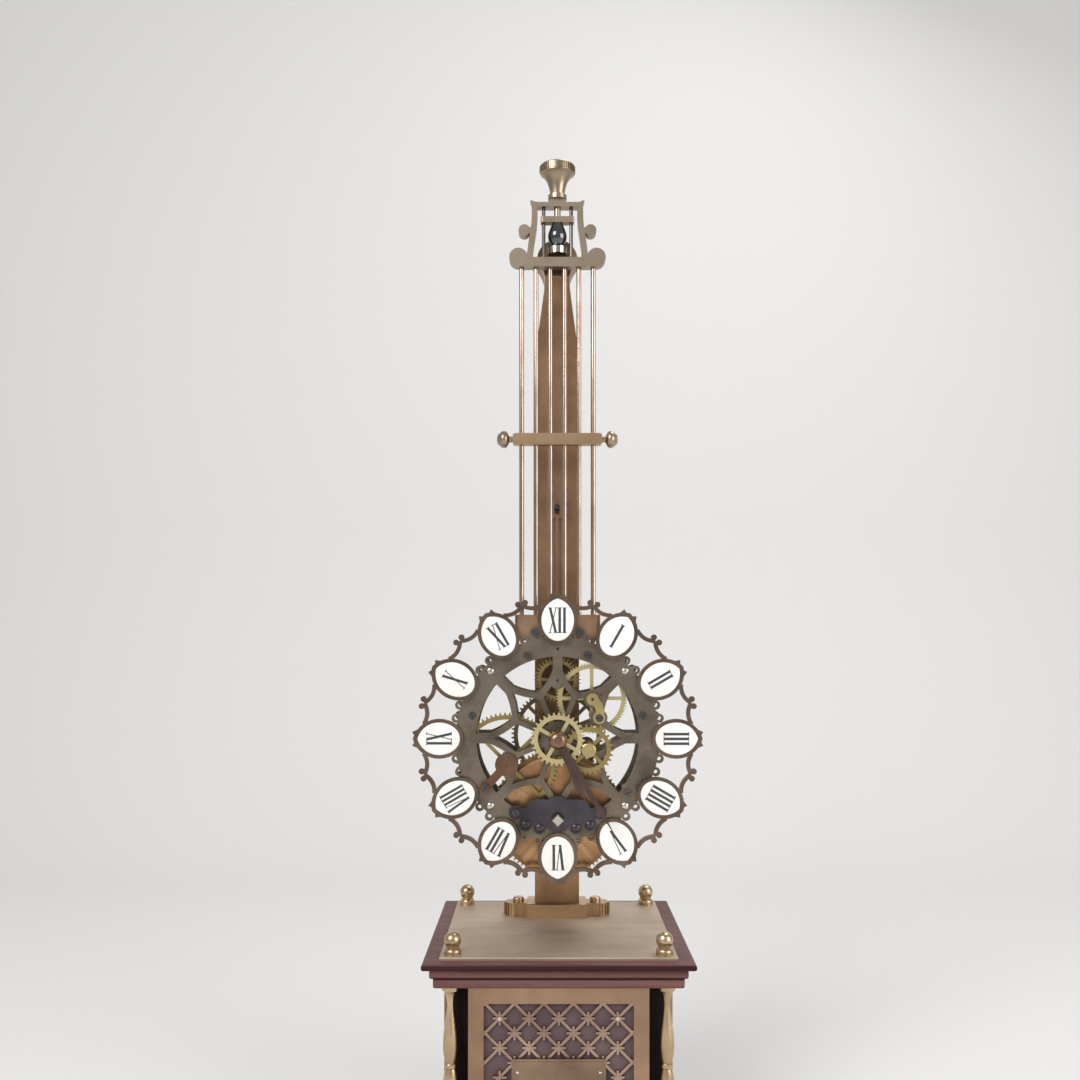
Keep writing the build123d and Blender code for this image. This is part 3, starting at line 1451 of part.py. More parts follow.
with BuildPart() as minute_wheel:
    pitch = pitch_radius(minute_teeth, cannon_leaves, motion_spacing)
    phase = mesh_phase(minute_teeth, minute_heading, tooth=False)
    wheel_face = spoked_gear(on_dial(minute_xz, minute_wheel_y), minute_teeth, pitch, phase, 4, stud_radius)
    extrude(to_extrude=wheel_face, amount=wheel_thickness)
    pitch = pitch_radius(minute_leaves, hour_teeth, motion_spacing)
    leaves_face = gear_face(on_dial(minute_xz, minute_wheel_y - wheel_thickness), minute_leaves, pitch,
                            mesh_phase(minute_leaves, minute_heading), slim=0.17)
    extrude(to_extrude=leaves_face, amount=minute_pinion_length)
    rod_along_y(minute_xz, front_plate_y - end_shake, minute_wheel_y, hub_radius * 0.6)
    with BuildSketch(on_dial(minute_xz, front_plate_y)):
        Circle(stud_radius + running_gap)
    extrude(amount=front_plate_y - stud_front, mode=Mode.SUBTRACT)
save(minute_wheel, "minute_wheel")

with BuildPart() as hour_wheel:
    pitch = pitch_radius(hour_teeth, minute_leaves, motion_spacing)
    phase = mesh_phase(hour_teeth, heading(centre_xz, minute_xz), tooth=False)
    wheel_plane = on_dial(centre_xz, hour_wheel_y)
    wheel_face = spoked_gear(wheel_plane, hour_teeth, pitch, phase, 4, cannon_pipe_radius, hour_spoke_turn)
    extrude(to_extrude=wheel_face, amount=wheel_thickness)
    rod_along_y(centre_xz, hour_wheel_y, hour_pipe_front, hour_pipe_radius)
    with BuildSketch(on_dial(centre_xz, hour_wheel_y)):
        Circle(cannon_pipe_radius + running_gap)
    extrude(amount=hour_wheel_y - hour_pipe_front, mode=Mode.SUBTRACT)
save(hour_wheel, "hour_wheel")


def hand_face(length, bore):
    """A tapered hand that points up, with a leaf near its end and a long point."""
    leaf = length * 0.74
    with BuildSketch() as face:
        Circle(hand_collet)
        with BuildLine():
            Polyline(
                (hand_width, 0),
                (hand_width * 0.62, leaf - hand_spade * 2.2),
                (hand_spade, leaf),
                (hand_width * 0.35, leaf + hand_spade * 1.6),
                (0, length),
                (-hand_width * 0.35, leaf + hand_spade * 1.6),
                (-hand_spade, leaf),
                (-hand_width * 0.62, leaf - hand_spade * 2.2),
                (-hand_width, 0),
                close=True,
            )
        make_face()
        Circle(bore, mode=Mode.SUBTRACT)
    return face.sketch


with BuildPart() as hour_hand:
    with BuildSketch(on_dial(centre_xz, hour_hand_y)):
        add(hand_face(hour_hand_length, hour_pipe_radius + seat_gap).rotate(Axis.Z, -hour_hand_angle))
    extrude(amount=hand_thickness)
save(hour_hand, "hour_hand")

with BuildPart() as minute_hand:
    with BuildSketch(on_dial(centre_xz, minute_hand_y)):
        add(hand_face(minute_hand_length, cannon_pipe_radius + seat_gap).rotate(Axis.Z, -minute_hand_angle))
    extrude(amount=hand_thickness)
save(minute_hand, "minute_hand")

with BuildPart() as hand_nut:
    nut_rear = cannon_pipe_front - seat_gap
    with BuildSketch(on_dial(centre_xz, nut_rear)):
        Circle(nut_radius)
    extrude(amount=nut_length)
    fillet(hand_nut.faces().sort_by(Axis.Y)[0].edges(), nut_radius * 0.7)
    with BuildSketch(on_dial(centre_xz, nut_rear)):
        Circle(arbor_radius + seat_gap)
    extrude(amount=nut_rear - centre_front + seat_gap, mode=Mode.SUBTRACT)
save(hand_nut, "hand_nut")
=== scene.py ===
# %% [markdown]
# A mystery clock, dressed for its portrait
#
# The clock stands on a wooden plinth with brass trim. Its movement and dial hang as the bob of a gridiron
# pendulum, which swings on a steel point in front of a bronze column. The CAD model already holds every
# working piece in its place, so this lesson adds what CAD leaves out: the finishes, the numerals on the
# plaques, the fine ribs and slots of knobs and screws, and the light.

# %% Load the model
import json
import math

import bmesh
import bpy
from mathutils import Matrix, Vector


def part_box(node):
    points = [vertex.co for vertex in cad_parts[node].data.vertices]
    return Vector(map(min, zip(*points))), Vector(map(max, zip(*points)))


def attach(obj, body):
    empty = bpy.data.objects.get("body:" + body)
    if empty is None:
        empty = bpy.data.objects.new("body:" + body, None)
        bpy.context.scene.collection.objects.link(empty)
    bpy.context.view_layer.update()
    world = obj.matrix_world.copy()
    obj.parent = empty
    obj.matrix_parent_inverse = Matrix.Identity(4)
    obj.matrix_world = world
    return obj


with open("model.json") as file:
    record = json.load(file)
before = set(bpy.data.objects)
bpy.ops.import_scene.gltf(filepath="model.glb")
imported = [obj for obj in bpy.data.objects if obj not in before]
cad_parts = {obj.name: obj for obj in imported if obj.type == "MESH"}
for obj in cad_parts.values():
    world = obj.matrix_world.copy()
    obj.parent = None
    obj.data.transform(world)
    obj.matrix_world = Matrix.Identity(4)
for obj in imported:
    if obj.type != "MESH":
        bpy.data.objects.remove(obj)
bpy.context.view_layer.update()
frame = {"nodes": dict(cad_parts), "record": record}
nodes = frame["nodes"]
MM = 0.001

# %% [markdown]
# Where the dial is
#
# The dial's centre comes from the joint that carries the hands, and the faces that most of the small pieces
# sit on are read from the boxes of the CAD nodes.

# %% Places read from the model
joint_at = {joint["name"]: Vector(joint["pos_m"]) for joint in frame["record"]["behaviour"]["joints"]
            if "pos_m" in joint}
dial = joint_at["centre_turn"]
plaque_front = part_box("enamel_plaques")[0][1]
print("dial centre", [round(v, 4) for v in dial], "plaque face at Y", round(plaque_front, 5))

# %% [markdown]
# Camera
#
# The picture was taken level, from a little above the middle of the clock. A level camera keeps the column
# and rods upright; the lens shift, and not a tilt, moves the clock in the frame.

# %% Camera
camera_data = bpy.data.cameras.new("portrait_camera")
camera_data.sensor_width = 36.0
camera_data.lens = 37.0
camera_data.shift_x = -0.0046
camera_data.shift_y = 0.0917
camera_data.clip_start = 0.01
camera = bpy.data.objects.new("portrait_camera", camera_data)
camera.location = (-0.0076, -0.677, 0.3078)
camera.rotation_euler = (math.radians(90), 0, 0)
bpy.context.scene.collection.objects.link(camera)
bpy.context.scene.camera = camera
bpy.context.scene.view_settings.view_transform = "Standard"
print("camera at", tuple(camera.location))

# %% [markdown]
# Shared shader groups
#
# Every metal here is old brass, bronze or steel, so the same few effects return: a cloudy patina, the fine
# lines of a brush, the rings and rays of a lathe. Each is one node group with named inputs, and each
# material places it with values of its own. A group hands out only colours, values and heights; the shader
# itself stays in the material.


# %% Small helpers for node trees
def new_group(name, inputs, outputs):
    """An empty shader group with its sockets, and its input and output nodes."""
    group = bpy.data.node_groups.new(name, "ShaderNodeTree")
    for label, kind, value in inputs:
        socket = group.interface.new_socket(name=label, in_out="INPUT", socket_type="NodeSocket" + kind)
        if value is not None:
            socket.default_value = value
    for label, kind in outputs:
        group.interface.new_socket(name=label, in_out="OUTPUT", socket_type="NodeSocket" + kind)
    return group, group.nodes.new("NodeGroupInput"), group.nodes.new("NodeGroupOutput")


def noise(tree, vector, scale, detail, rough=0.55):
    """A noise texture; scale is a number or a socket."""
    node = tree.nodes.new("ShaderNodeTexNoise")
    node.inputs["Detail"].default_value = detail
    node.inputs["Roughness"].default_value = rough
    tree.links.new(vector, node.inputs["Vector"])
    if isinstance(scale, (int, float)):
        node.inputs["Scale"].default_value = scale
    else:
        tree.links.new(scale, node.inputs["Scale"])
    return node.outputs["Fac"]


def math_node(tree, operation, a, b=None):
    """A math node; each argument is a number or a socket."""
    node = tree.nodes.new("ShaderNodeMath")
    node.operation = operation
    for place, value in zip(node.inputs, (a, b)):
        if value is None:
            continue
        if isinstance(value, (int, float)):
            place.default_value = value
        else:
            tree.links.new(value, place)
    return node.outputs[0]


def spread(tree, value, low, high, to_low=0.0, to_high=1.0):
    """Stretch a value's range; the last two may be sockets."""
    node = tree.nodes.new("ShaderNodeMapRange")
    tree.links.new(value, node.inputs["Value"])
    for label, bound in (("From Min", low), ("From Max", high), ("To Min", to_low), ("To Max", to_high)):
        if isinstance(bound, (int, float)):
            node.inputs[label].default_value = bound
        else:
            tree.links.new(bound, node.inputs[label])
    return node.outputs["Result"]


def mix_colour(tree, factor, a, b):
    """Mix two colour sockets or colours."""
    node = tree.nodes.new("ShaderNodeMix")
    node.data_type = "RGBA"
    for place, value in ((node.inputs["Factor"], factor), (node.inputs[6], a), (node.inputs[7], b)):
        if isinstance(value, (int, float, tuple)):
            place.default_value = value
        else:
            tree.links.new(value, place)
    return node.outputs[2]


print("helpers ready")

# %% [markdown]
# Patina
#
# Handled brass goes brown in soft clouds, with small darker specks. Two noises do it: a broad one mixes the
# clean and aged colours, a fine one gives the specks, and both also change the roughness.

# %% Patina group
patina, group_in, group_out = new_group(
    "old_patina",
    [("Vector", "Vector", None), ("Clean", "Color", None), ("Aged", "Color", None),
     ("Cloud Scale", "Float", 40.0), ("Speck Scale", "Float", 900.0),
     ("Smooth", "Float", 0.25), ("Dull", "Float", 0.45)],
    [("Color", "Color"), ("Roughness", "Float"), ("Height", "Float")])
cloud_noise = noise(patina, group_in.outputs["Vector"], group_in.outputs["Cloud Scale"], 5)
cloud = spread(patina, cloud_noise, 0.3, 0.7)
speck = noise(patina, group_in.outputs["Vector"], group_in.outputs["Speck Scale"], 3)
speck_mask = spread(patina, speck, 0.58, 0.74)
toned = mix_colour(patina, cloud, group_in.outputs["Clean"], group_in.outputs["Aged"])
speck_amount = math_node(patina, "MULTIPLY", speck_mask, 0.35)
specked = mix_colour(patina, speck_amount, toned, group_in.outputs["Aged"])
patina.links.new(specked, group_out.inputs["Color"])
cloud_share = math_node(patina, "MULTIPLY", cloud, 0.7)
speck_share = math_node(patina, "MULTIPLY", speck, 0.3)
worn = math_node(patina, "ADD", cloud_share, speck_share)
worn_rough = spread(patina, worn, 0.0, 1.0, group_in.outputs["Smooth"], group_in.outputs["Dull"])
patina.links.new(worn_rough, group_out.inputs["Roughness"])
patina.links.new(speck, group_out.inputs["Height"])
print("made", patina.name)

# %% [markdown]
# Brushed lines
#
# Flat brass is finished with a brush or a stick of emery, which leaves straight fine lines. Noise that is
# stretched fifty times along one axis looks just like that.

# %% Brushed group
brushed, group_in, group_out = new_group(
    "brushed_lines",
    [("Vector", "Vector", None), ("Stretch", "Vector", (1.0, 1.0, 1.0)), ("Scale", "Float", 60.0)],
    [("Lines", "Float")])
stretched = brushed.nodes.new("ShaderNodeVectorMath")
stretched.operation = "MULTIPLY"
brushed.links.new(group_in.outputs["Vector"], stretched.inputs[0])
brushed.links.new(group_in.outputs["Stretch"], stretched.inputs[1])
line_noise = noise(brushed, stretched.outputs[0], group_in.outputs["Scale"], 6, 0.65)
brushed.links.new(line_noise, group_out.inputs["Lines"])
print("made", brushed.name)

# %% [markdown]
# Lathe rings and rays
#
# Wheels and covers are finished on the lathe. Rings come from noise read along the radius only, and the
# sunburst on a cover from noise read along the angle only. A Mapping node puts the lathe's centre on the
# wheel's arbor, so one group serves them all.

# %% Turned group
turned, group_in, group_out = new_group(
    "lathe_turned",
    [("Vector", "Vector", None), ("Ring Scale", "Float", 1500.0), ("Ray Scale", "Float", 9.0)],
    [("Rings", "Float"), ("Rays", "Float")])
parts_xyz = turned.nodes.new("ShaderNodeSeparateXYZ")
turned.links.new(group_in.outputs["Vector"], parts_xyz.inputs[0])
x_out, z_out = parts_xyz.outputs["X"], parts_xyz.outputs["Z"]
x_squared = math_node(turned, "MULTIPLY", x_out, x_out)
z_squared = math_node(turned, "MULTIPLY", z_out, z_out)
radius_out = math_node(turned, "SQRT", math_node(turned, "ADD", x_squared, z_squared))
ring_vector = turned.nodes.new("ShaderNodeCombineXYZ")
turned.links.new(radius_out, ring_vector.inputs["X"])
ring_noise = noise(turned, ring_vector.outputs[0], group_in.outputs["Ring Scale"], 4, 0.7)
turned.links.new(ring_noise, group_out.inputs["Rings"])
ray_vector = turned.nodes.new("ShaderNodeCombineXYZ")
smallest_radius = 0.5 * MM
safe_radius = math_node(turned, "MAXIMUM", radius_out, smallest_radius)
turned.links.new(math_node(turned, "DIVIDE", x_out, safe_radius), ray_vector.inputs["X"])
turned.links.new(math_node(turned, "DIVIDE", z_out, safe_radius), ray_vector.inputs["Y"])
ray_noise = noise(turned, ray_vector.outputs[0], group_in.outputs["Ray Scale"], 5, 0.6)
turned.links.new(ray_noise, group_out.inputs["Rays"])
print("made", turned.name)

# %% [markdown]
# One recipe for the metals
#
# A metal is a Principled shader with Metallic at one. Its colour and roughness come from the patina group;
# a straight brush or a lathe changes the roughness and gives a hair of bump, which is what makes brass look
# worked and not cast in plastic. Paint, ink and enamel take their colour and roughness from the patina too,
# without the metal.

# %% Recipes for finishes
bump_depth = 0.2 * MM


def rgb(red, green, blue):
    """A colour written as it is seen on screen, from 0 to 255, turned into Blender's linear values."""
    def linear(c):
        c /= 255
        return c / 12.92 if c <= 0.04045 else ((c + 0.055) / 1.055) ** 2.4
    return (linear(red), linear(green), linear(blue), 1.0)


def place_group(material, group, vector, **values):
    """Put a node group in a material and set its inputs; an underscore in a name stands for a space."""
    node = material.node_tree.nodes.new("ShaderNodeGroup")
    node.node_tree = group
    material.node_tree.links.new(vector, node.inputs["Vector"])
    for label, value in values.items():
        node.inputs[label.replace("_", " ")].default_value = value
    return node


def new_material(name):
    """A material with its Principled shader and the Object coordinates."""
    material = bpy.data.materials.new(name)
    material.use_nodes = True
    shader = material.node_tree.nodes["Principled BSDF"]
    coordinates = material.node_tree.nodes.new("ShaderNodeTexCoord")
    return material, shader, coordinates.outputs["Object"]


def add_bump(material, shader, height, strength):
    """Feed a height to the shader's normal."""
    bump = material.node_tree.nodes.new("ShaderNodeBump")
    bump.inputs["Strength"].default_value = strength
    bump.inputs["Distance"].default_value = bump_depth
    material.node_tree.links.new(height, bump.inputs["Height"])
    material.node_tree.links.new(bump.outputs["Normal"], shader.inputs["Normal"])


def old_metal(name, clean, aged, smooth=0.25, dull=0.42, stretch=None, centre=None, rays=0.0,
              cloud_scale=40.0, bump=0.12):
    """Aged metal, brushed along an axis or turned about a centre."""
    material, shader, vector = new_material(name)
    tree = material.node_tree
    shader.inputs["Metallic"].default_value = 1.0
    cloudy = place_group(material, patina, vector, Clean=clean, Aged=aged, Smooth=smooth, Dull=dull,
                         Cloud_Scale=cloud_scale)
    colour, rough, height = (cloudy.outputs[label] for label in ("Color", "Roughness", "Height"))
    if centre is not None:
        mapping = tree.nodes.new("ShaderNodeMapping")
        mapping.inputs["Location"].default_value = (-centre[0], -centre[1], -centre[2])
        tree.links.new(vector, mapping.inputs["Vector"])
        lathe = place_group(material, turned, mapping.outputs[0])
        height = lathe.outputs["Rings"]
        rough = math_node(tree, "ADD", rough, spread(tree, height, 0.3, 0.7, -0.08, 0.08))
        if rays:
            shine = spread(tree, lathe.outputs["Rays"], 0.35, 0.65)
            colour = mix_colour(tree, math_node(tree, "MULTIPLY", shine, rays), colour, aged)
    elif stretch is not None:
        brush = place_group(material, brushed, vector, Stretch=stretch)
        height = brush.outputs["Lines"]
        rough = math_node(tree, "ADD", rough, spread(tree, height, 0.3, 0.7, -0.07, 0.09))
        colour = mix_colour(tree, spread(tree, height, 0.35, 0.75, 0.0, 0.3), colour, aged)
    tree.links.new(colour, shader.inputs["Base Color"])
    tree.links.new(rough, shader.inputs["Roughness"])
    add_bump(material, shader, height, bump)
    return material


def clouded(name, clean, aged, smooth, dull, **scales):
    """A finish with the patina's colour and roughness, and its shader and patina for what else it needs."""
    material, shader, vector = new_material(name)
    cloudy = place_group(material, patina, vector, Clean=clean, Aged=aged, Smooth=smooth, Dull=dull, **scales)
    material.node_tree.links.new(cloudy.outputs["Color"], shader.inputs["Base Color"])
    material.node_tree.links.new(cloudy.outputs["Roughness"], shader.inputs["Roughness"])
    return material, shader, cloudy


def dress(material, *names):
    """Give CAD nodes their finish."""
    for name in names:
        for place in nodes[name].material_slots:
            place.material = material


print("recipes ready")

# %% [markdown]
# Bronze and brass of the stand
#
# The column and its foot are brown bronze with a brush along their length. The yoke, crossbar and knob are
# lighter. The plate on the plinth, its panels and the turned pieces are brass.

# %% Stand finishes
along_z = (1.0, 1.0, 0.02)
along_x = (0.02, 1.0, 1.0)
column_bronze = old_metal("column_bronze", rgb(182, 148, 114), rgb(136, 108, 82), 0.3, 0.46, stretch=along_z)
foot_bronze = old_metal("foot_bronze", rgb(212, 184, 146), rgb(166, 138, 106), 0.26, 0.4, stretch=along_x)
yoke_bronze = old_metal("yoke_bronze", rgb(184, 168, 148), rgb(144, 128, 110), 0.3, 0.45)
crossbar_bronze = old_metal("crossbar_bronze", rgb(206, 176, 142), rgb(166, 138, 108), 0.3, 0.45,
                            stretch=along_x)
block_bronze = old_metal("block_bronze", rgb(198, 162, 132), rgb(154, 122, 96), 0.32, 0.48, stretch=along_x)
knob_brass = old_metal("knob_brass", rgb(186, 168, 146), rgb(146, 130, 108), 0.26, 0.4)
plate_brass = old_metal("plate_brass", rgb(208, 191, 172), rgb(176, 158, 140), 0.52, 0.66,
                        stretch=along_x, cloud_scale=18.0)
name_brass = old_metal("name_brass", rgb(162, 138, 114), rgb(126, 104, 86), 0.3, 0.45, stretch=along_x)
panel_brass = old_metal("panel_brass", rgb(182, 150, 124), rgb(146, 116, 94), 0.32, 0.46,
                        stretch=along_z, cloud_scale=24.0)
lattice_bronze = old_metal("lattice_bronze", rgb(196, 170, 152), rgb(150, 122, 108), 0.3, 0.45)
turned_brass = old_metal("turned_brass", rgb(216, 190, 154), rgb(168, 142, 110), 0.22, 0.36)
dress(column_bronze, "column", "crutch")
dress(foot_bronze, "column_foot")
dress(yoke_bronze, "yoke", "riding_block")
dress(crossbar_bronze, "crossbar")
dress(block_bronze, "movement_block")
dress(knob_brass, "rating_screw", "crossbar_knobs")
dress(plate_brass, "top_plate")
dress(name_brass, "name_plate")
dress(panel_brass, "panel_frames")
dress(lattice_bronze, "lattices")
dress(turned_brass, "corner_finials", "corner_columns", "foot_bolts", "bun_feet")
print("stand dressed")

# %% [markdown]
# Wood of the plinth
#
# The mouldings are dark red-brown wood under old polish. Growth rings are a wave texture, bent by noise and
# stretched along the board; fine pores are noise stretched the same way. The polish is the shader's coat.
# The slab's edge and the hollow below it are darkened in two bands by height: this is painted shade,
# and on the edge a painted dark reflection.

# %% Wood group and material
# the group's colour carries the grain and also the painted shade bands
wood_grain_and_shade, group_in, group_out = new_group(
    "plinth_grain_and_shade",
    [("Vector", "Vector", None), ("Light", "Color", None), ("Dark", "Color", None),
     ("Stretch", "Vector", (0.06, 1.0, 1.0)),
     ("Edge Height", "Float", 0.1285), ("Hollow Height", "Float", 0.1218)],
    [("Color", "Color"), ("Pores", "Float")])
board = wood_grain_and_shade.nodes.new("ShaderNodeVectorMath")
board.operation = "MULTIPLY"
wood_grain_and_shade.links.new(group_in.outputs["Vector"], board.inputs[0])
wood_grain_and_shade.links.new(group_in.outputs["Stretch"], board.inputs[1])
growth = wood_grain_and_shade.nodes.new("ShaderNodeTexWave")
growth.wave_type = "BANDS"
growth.bands_direction = "DIAGONAL"
growth.inputs["Scale"].default_value = 55.0
growth.inputs["Distortion"].default_value = 7.0
growth.inputs["Detail"].default_value = 3.0
growth.inputs["Detail Scale"].default_value = 1.6
wood_grain_and_shade.links.new(board.outputs[0], growth.inputs["Vector"])
pores = noise(wood_grain_and_shade, board.outputs[0], 1400.0, 3)
rings = spread(wood_grain_and_shade, growth.outputs["Fac"], 0.0, 1.0, 0.3, 0.7)
grained = mix_colour(wood_grain_and_shade, rings, group_in.outputs["Dark"], group_in.outputs["Light"])
pore_amount = spread(wood_grain_and_shade, pores, 0.56, 0.7, 0.0, 0.5)
pored = mix_colour(wood_grain_and_shade, pore_amount, grained, group_in.outputs["Dark"])
up = wood_grain_and_shade.nodes.new("ShaderNodeSeparateXYZ")
wood_grain_and_shade.links.new(group_in.outputs["Vector"], up.inputs[0])
# painted shade: two bands by height, on the slab's edge and in the hollow below it, darkened towards
# near-black red
shaded_wood_colour, painted_shade_colour, painted_shade_strength = pored, rgb(38, 10, 10), 0.85
for label, reach in (("Edge Height", 2.6 * MM), ("Hollow Height", 1.3 * MM)):
    above = math_node(wood_grain_and_shade, "SUBTRACT", up.outputs["Z"], group_in.outputs[label])
    away = math_node(wood_grain_and_shade, "ABSOLUTE", above)
    painted_shade_amount = spread(wood_grain_and_shade, away, reach * 0.6, reach, painted_shade_strength, 0.0)
    shaded_wood_colour = mix_colour(wood_grain_and_shade, painted_shade_amount, shaded_wood_colour, painted_shade_colour)
wood_grain_and_shade.links.new(shaded_wood_colour, group_out.inputs["Color"])
wood_grain_and_shade.links.new(pores, group_out.inputs["Pores"])


def polished_wood(name, light, dark, stretch, coat, rough):
    """Dark wood with its grain along one axis, under more or less polish."""
    material, shader, vector = new_material(name)
    grain = place_group(material, wood_grain_and_shade, vector, Light=light, Dark=dark, Stretch=stretch)
    material.node_tree.links.new(grain.outputs["Color"], shader.inputs["Base Color"])
    gloss = spread(material.node_tree, grain.outputs["Pores"], 0.3, 0.7, *rough)
    material.node_tree.links.new(gloss, shader.inputs["Roughness"])
    shader.inputs["Coat Weight"].default_value = coat
    shader.inputs["Coat Roughness"].default_value = 0.18
    shader.inputs["Specular IOR Level"].default_value = 0.1
    add_bump(material, shader, grain.outputs["Pores"], 0.15)
    return material


grain_along_x, grain_along_z = (0.06, 1.0, 1.0), (1.0, 1.0, 0.06)
moulding_wood = polished_wood("moulding_wood", rgb(132, 92, 87), rgb(93, 63, 60),
                              stretch=grain_along_x, coat=0.04, rough=(0.36, 0.52))
# partly painted shade: dark wood, darkened further to match the deep shade in the corner recesses
case_wood_and_shade = polished_wood("case_wood_and_shade", rgb(48, 33, 32), rgb(30, 21, 21),
                          stretch=grain_along_z, coat=0.0, rough=(0.6, 0.8))
dress(moulding_wood, "cornice", "base_moulding")
dress(case_wood_and_shade, "case_body")
print("wood dressed")

# %% [markdown]
# Dark backing
#
# Behind each lattice lies a dark purple-brown board. It is matt, and its specks are finer than the metals'.

# %% Backing
backing, shader, cloudy = clouded("lattice_backing", rgb(104, 84, 84), rgb(82, 64, 66), 0.6, 0.8,
                                  Speck_Scale=1600.0)
add_bump(backing, shader, cloudy.outputs["Height"], 0.2)
dress(backing, "lattice_backings")
print("backing dressed")

# %% [markdown]
# Steel
#
# Rods are drawn steel; guide posts, screws and arbors are darker. The post of the suspension is polished
# until it mirrors the room. The pear on it is chrome too; its darker colour is a painted reflection of the
# dark room. The winding bridge is blued almost to black, and the hands are browned. The winding arbor is
# bright only on its square, where a key has rubbed it, so its colour changes with depth.

# %% Steel finishes
drawn_steel = old_metal("drawn_steel", rgb(192, 174, 160), rgb(150, 130, 116), 0.14, 0.24,
                        stretch=along_z, bump=0.02)
pin_steel = old_metal("pin_steel", rgb(226, 220, 210), rgb(190, 182, 170), 0.18, 0.3)
dark_steel = old_metal("dark_steel", rgb(120, 116, 112), rgb(82, 78, 76), 0.2, 0.36)
mirror_steel = old_metal("mirror_steel", rgb(206, 204, 200), rgb(168, 166, 162), 0.06, 0.14)
# painted reflection: the chrome pear's colour is darkened for the dark room it mirrors
pear_steel_dark_reflection = old_metal("pear_steel_dark_reflection", rgb(128, 128, 130), rgb(84, 86, 88), 0.05, 0.14)
blued_steel = old_metal("blued_steel", rgb(98, 92, 97), rgb(66, 61, 65), 0.26, 0.44)
hand_steel = old_metal("hand_steel", rgb(116, 98, 92), rgb(80, 66, 62), 0.24, 0.4)
nut_bronze = old_metal("nut_bronze", rgb(170, 136, 112), rgb(118, 92, 76), 0.24, 0.38)
dress(drawn_steel, "gridiron_rods")
dress(dark_steel, "guide_posts", "plate_screws", "impulse_pin", "ratchet_wheel",
      "click", "click_spring", "intermediate_arbor", "third_arbor", "escape_arbor", "centre_arbor", "pallets")
dress(mirror_steel, "pivot_post")
dress(pear_steel_dark_reflection, "pivot_cap")
dress(blued_steel, "winding_bridge", "mainspring")
dress(hand_steel, "hour_hand", "minute_hand")
dress(nut_bronze, "hand_nut")
dress(pin_steel, "panel_screws")
print("steel dressed")

# %% The winding square
square_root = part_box("winding_bridge")[0][1]
square_steel, shader, vector = new_material("square_steel")
shader.inputs["Metallic"].default_value = 1.0
cloudy = place_group(square_steel, patina, vector, Clean=rgb(226, 220, 210), Aged=rgb(190, 182, 170),
                     Smooth=0.18, Dull=0.3)
steel_tree = square_steel.node_tree
depth = steel_tree.nodes.new("ShaderNodeSeparateXYZ")
steel_tree.links.new(vector, depth.inputs[0])
behind = spread(steel_tree, depth.outputs["Y"], square_root - 0.3 * MM, square_root - 0.1 * MM)
square_colour = mix_colour(steel_tree, behind, cloudy.outputs["Color"], rgb(74, 70, 70))
steel_tree.links.new(square_colour, shader.inputs["Base Color"])
steel_tree.links.new(cloudy.outputs["Roughness"], shader.inputs["Roughness"])
dress(square_steel, "winding_arbor")
print("square bright in front of Y", round(square_root, 5))

# %% [markdown]
# The movement's bronze and brass
#
# The pierced plates are grey-brown, the frames of the dial a little warmer. Wheels are yellow brass, turned
# on the lathe about their own arbors, so each wheel gets its own copy of the recipe with its own centre.

# %% Movement finishes
frame_bronze = old_metal("frame_bronze", rgb(146, 134, 118), rgb(102, 92, 80), 0.34, 0.5, cloud_scale=60.0)
dial_bronze = old_metal("dial_bronze", rgb(140, 120, 104), rgb(98, 82, 70), 0.3, 0.46, cloud_scale=60.0)
cock_bronze = old_metal("cock_bronze", rgb(148, 114, 92), rgb(104, 78, 62), 0.28, 0.44,
                        centre=joint_at["intermediate_turn"])
pale_brass = old_metal("pale_brass", rgb(216, 198, 142), rgb(176, 154, 100), 0.26, 0.4)
dress(frame_bronze, "front_plate", "back_plate", "plate_pillars")
dress(dial_bronze, "chapter_ring")
dress(cock_bronze, "intermediate_cock")
dress(pale_brass, "third_cock", "minute_stud", "cannon_pinion")
olive, dusk = (rgb(190, 170, 116), rgb(144, 124, 80)), (rgb(140, 122, 94), rgb(100, 86, 66))
yellow, reddish = (rgb(240, 226, 174), rgb(208, 188, 132)), (rgb(222, 176, 128), rgb(164, 124, 88))
for wheel, joint, tone in (
        ("intermediate_wheel", "intermediate_turn", olive), ("centre_wheel", "centre_turn", dusk),
        ("third_wheel", "third_turn", yellow), ("escape_wheel", "escape_turn", olive),
        ("minute_wheel", "minute_work_turn", olive), ("hour_wheel", "hour_work_turn", yellow),
        ("great_wheel", "barrel_turn", olive), ("barrel_drum", "barrel_turn", reddish)):
    dress(old_metal(wheel + "_brass", *tone, smooth=0.26, dull=0.42, centre=joint_at[joint]), wheel)
barrel_axis = joint_at["barrel_turn"]
cover_brass = old_metal("barrel_cover_brass", *reddish, smooth=0.24, dull=0.4, centre=barrel_axis, rays=0.8)
dress(cover_brass, "barrel_cover")
print("movement dressed")

# %% [markdown]
# Enamel
#
# White enamel is glass on copper: a pale body colour, a very smooth coat and the faintest orange-peel bump.

# %% Enamel
enamel, shader, cloudy = clouded("white_enamel", rgb(247, 246, 243), rgb(236, 233, 226), 0.12, 0.22,
                                 Cloud_Scale=90.0, Speck_Scale=500.0)
shader.inputs["Coat Weight"].default_value = 0.6
shader.inputs["Coat Roughness"].default_value = 0.05
add_bump(enamel, shader, cloudy.outputs["Height"], 0.04)
dress(enamel, "enamel_plaques")
print("enamel dressed")

# %% [markdown]
# Numerals
#
# Each plaque carries a tall Roman numeral with its foot towards the dial's centre. Lettering of this kind
# is only three strokes: an upright, a heavy slant and a fine slant, all with small feet. So each numeral is
# drawn from those strokes in millimetres, as thin raised ink, and then turned to its hour. Every stroke is
# a hair higher than the last, so that no two faces lie in one plane where strokes cross.

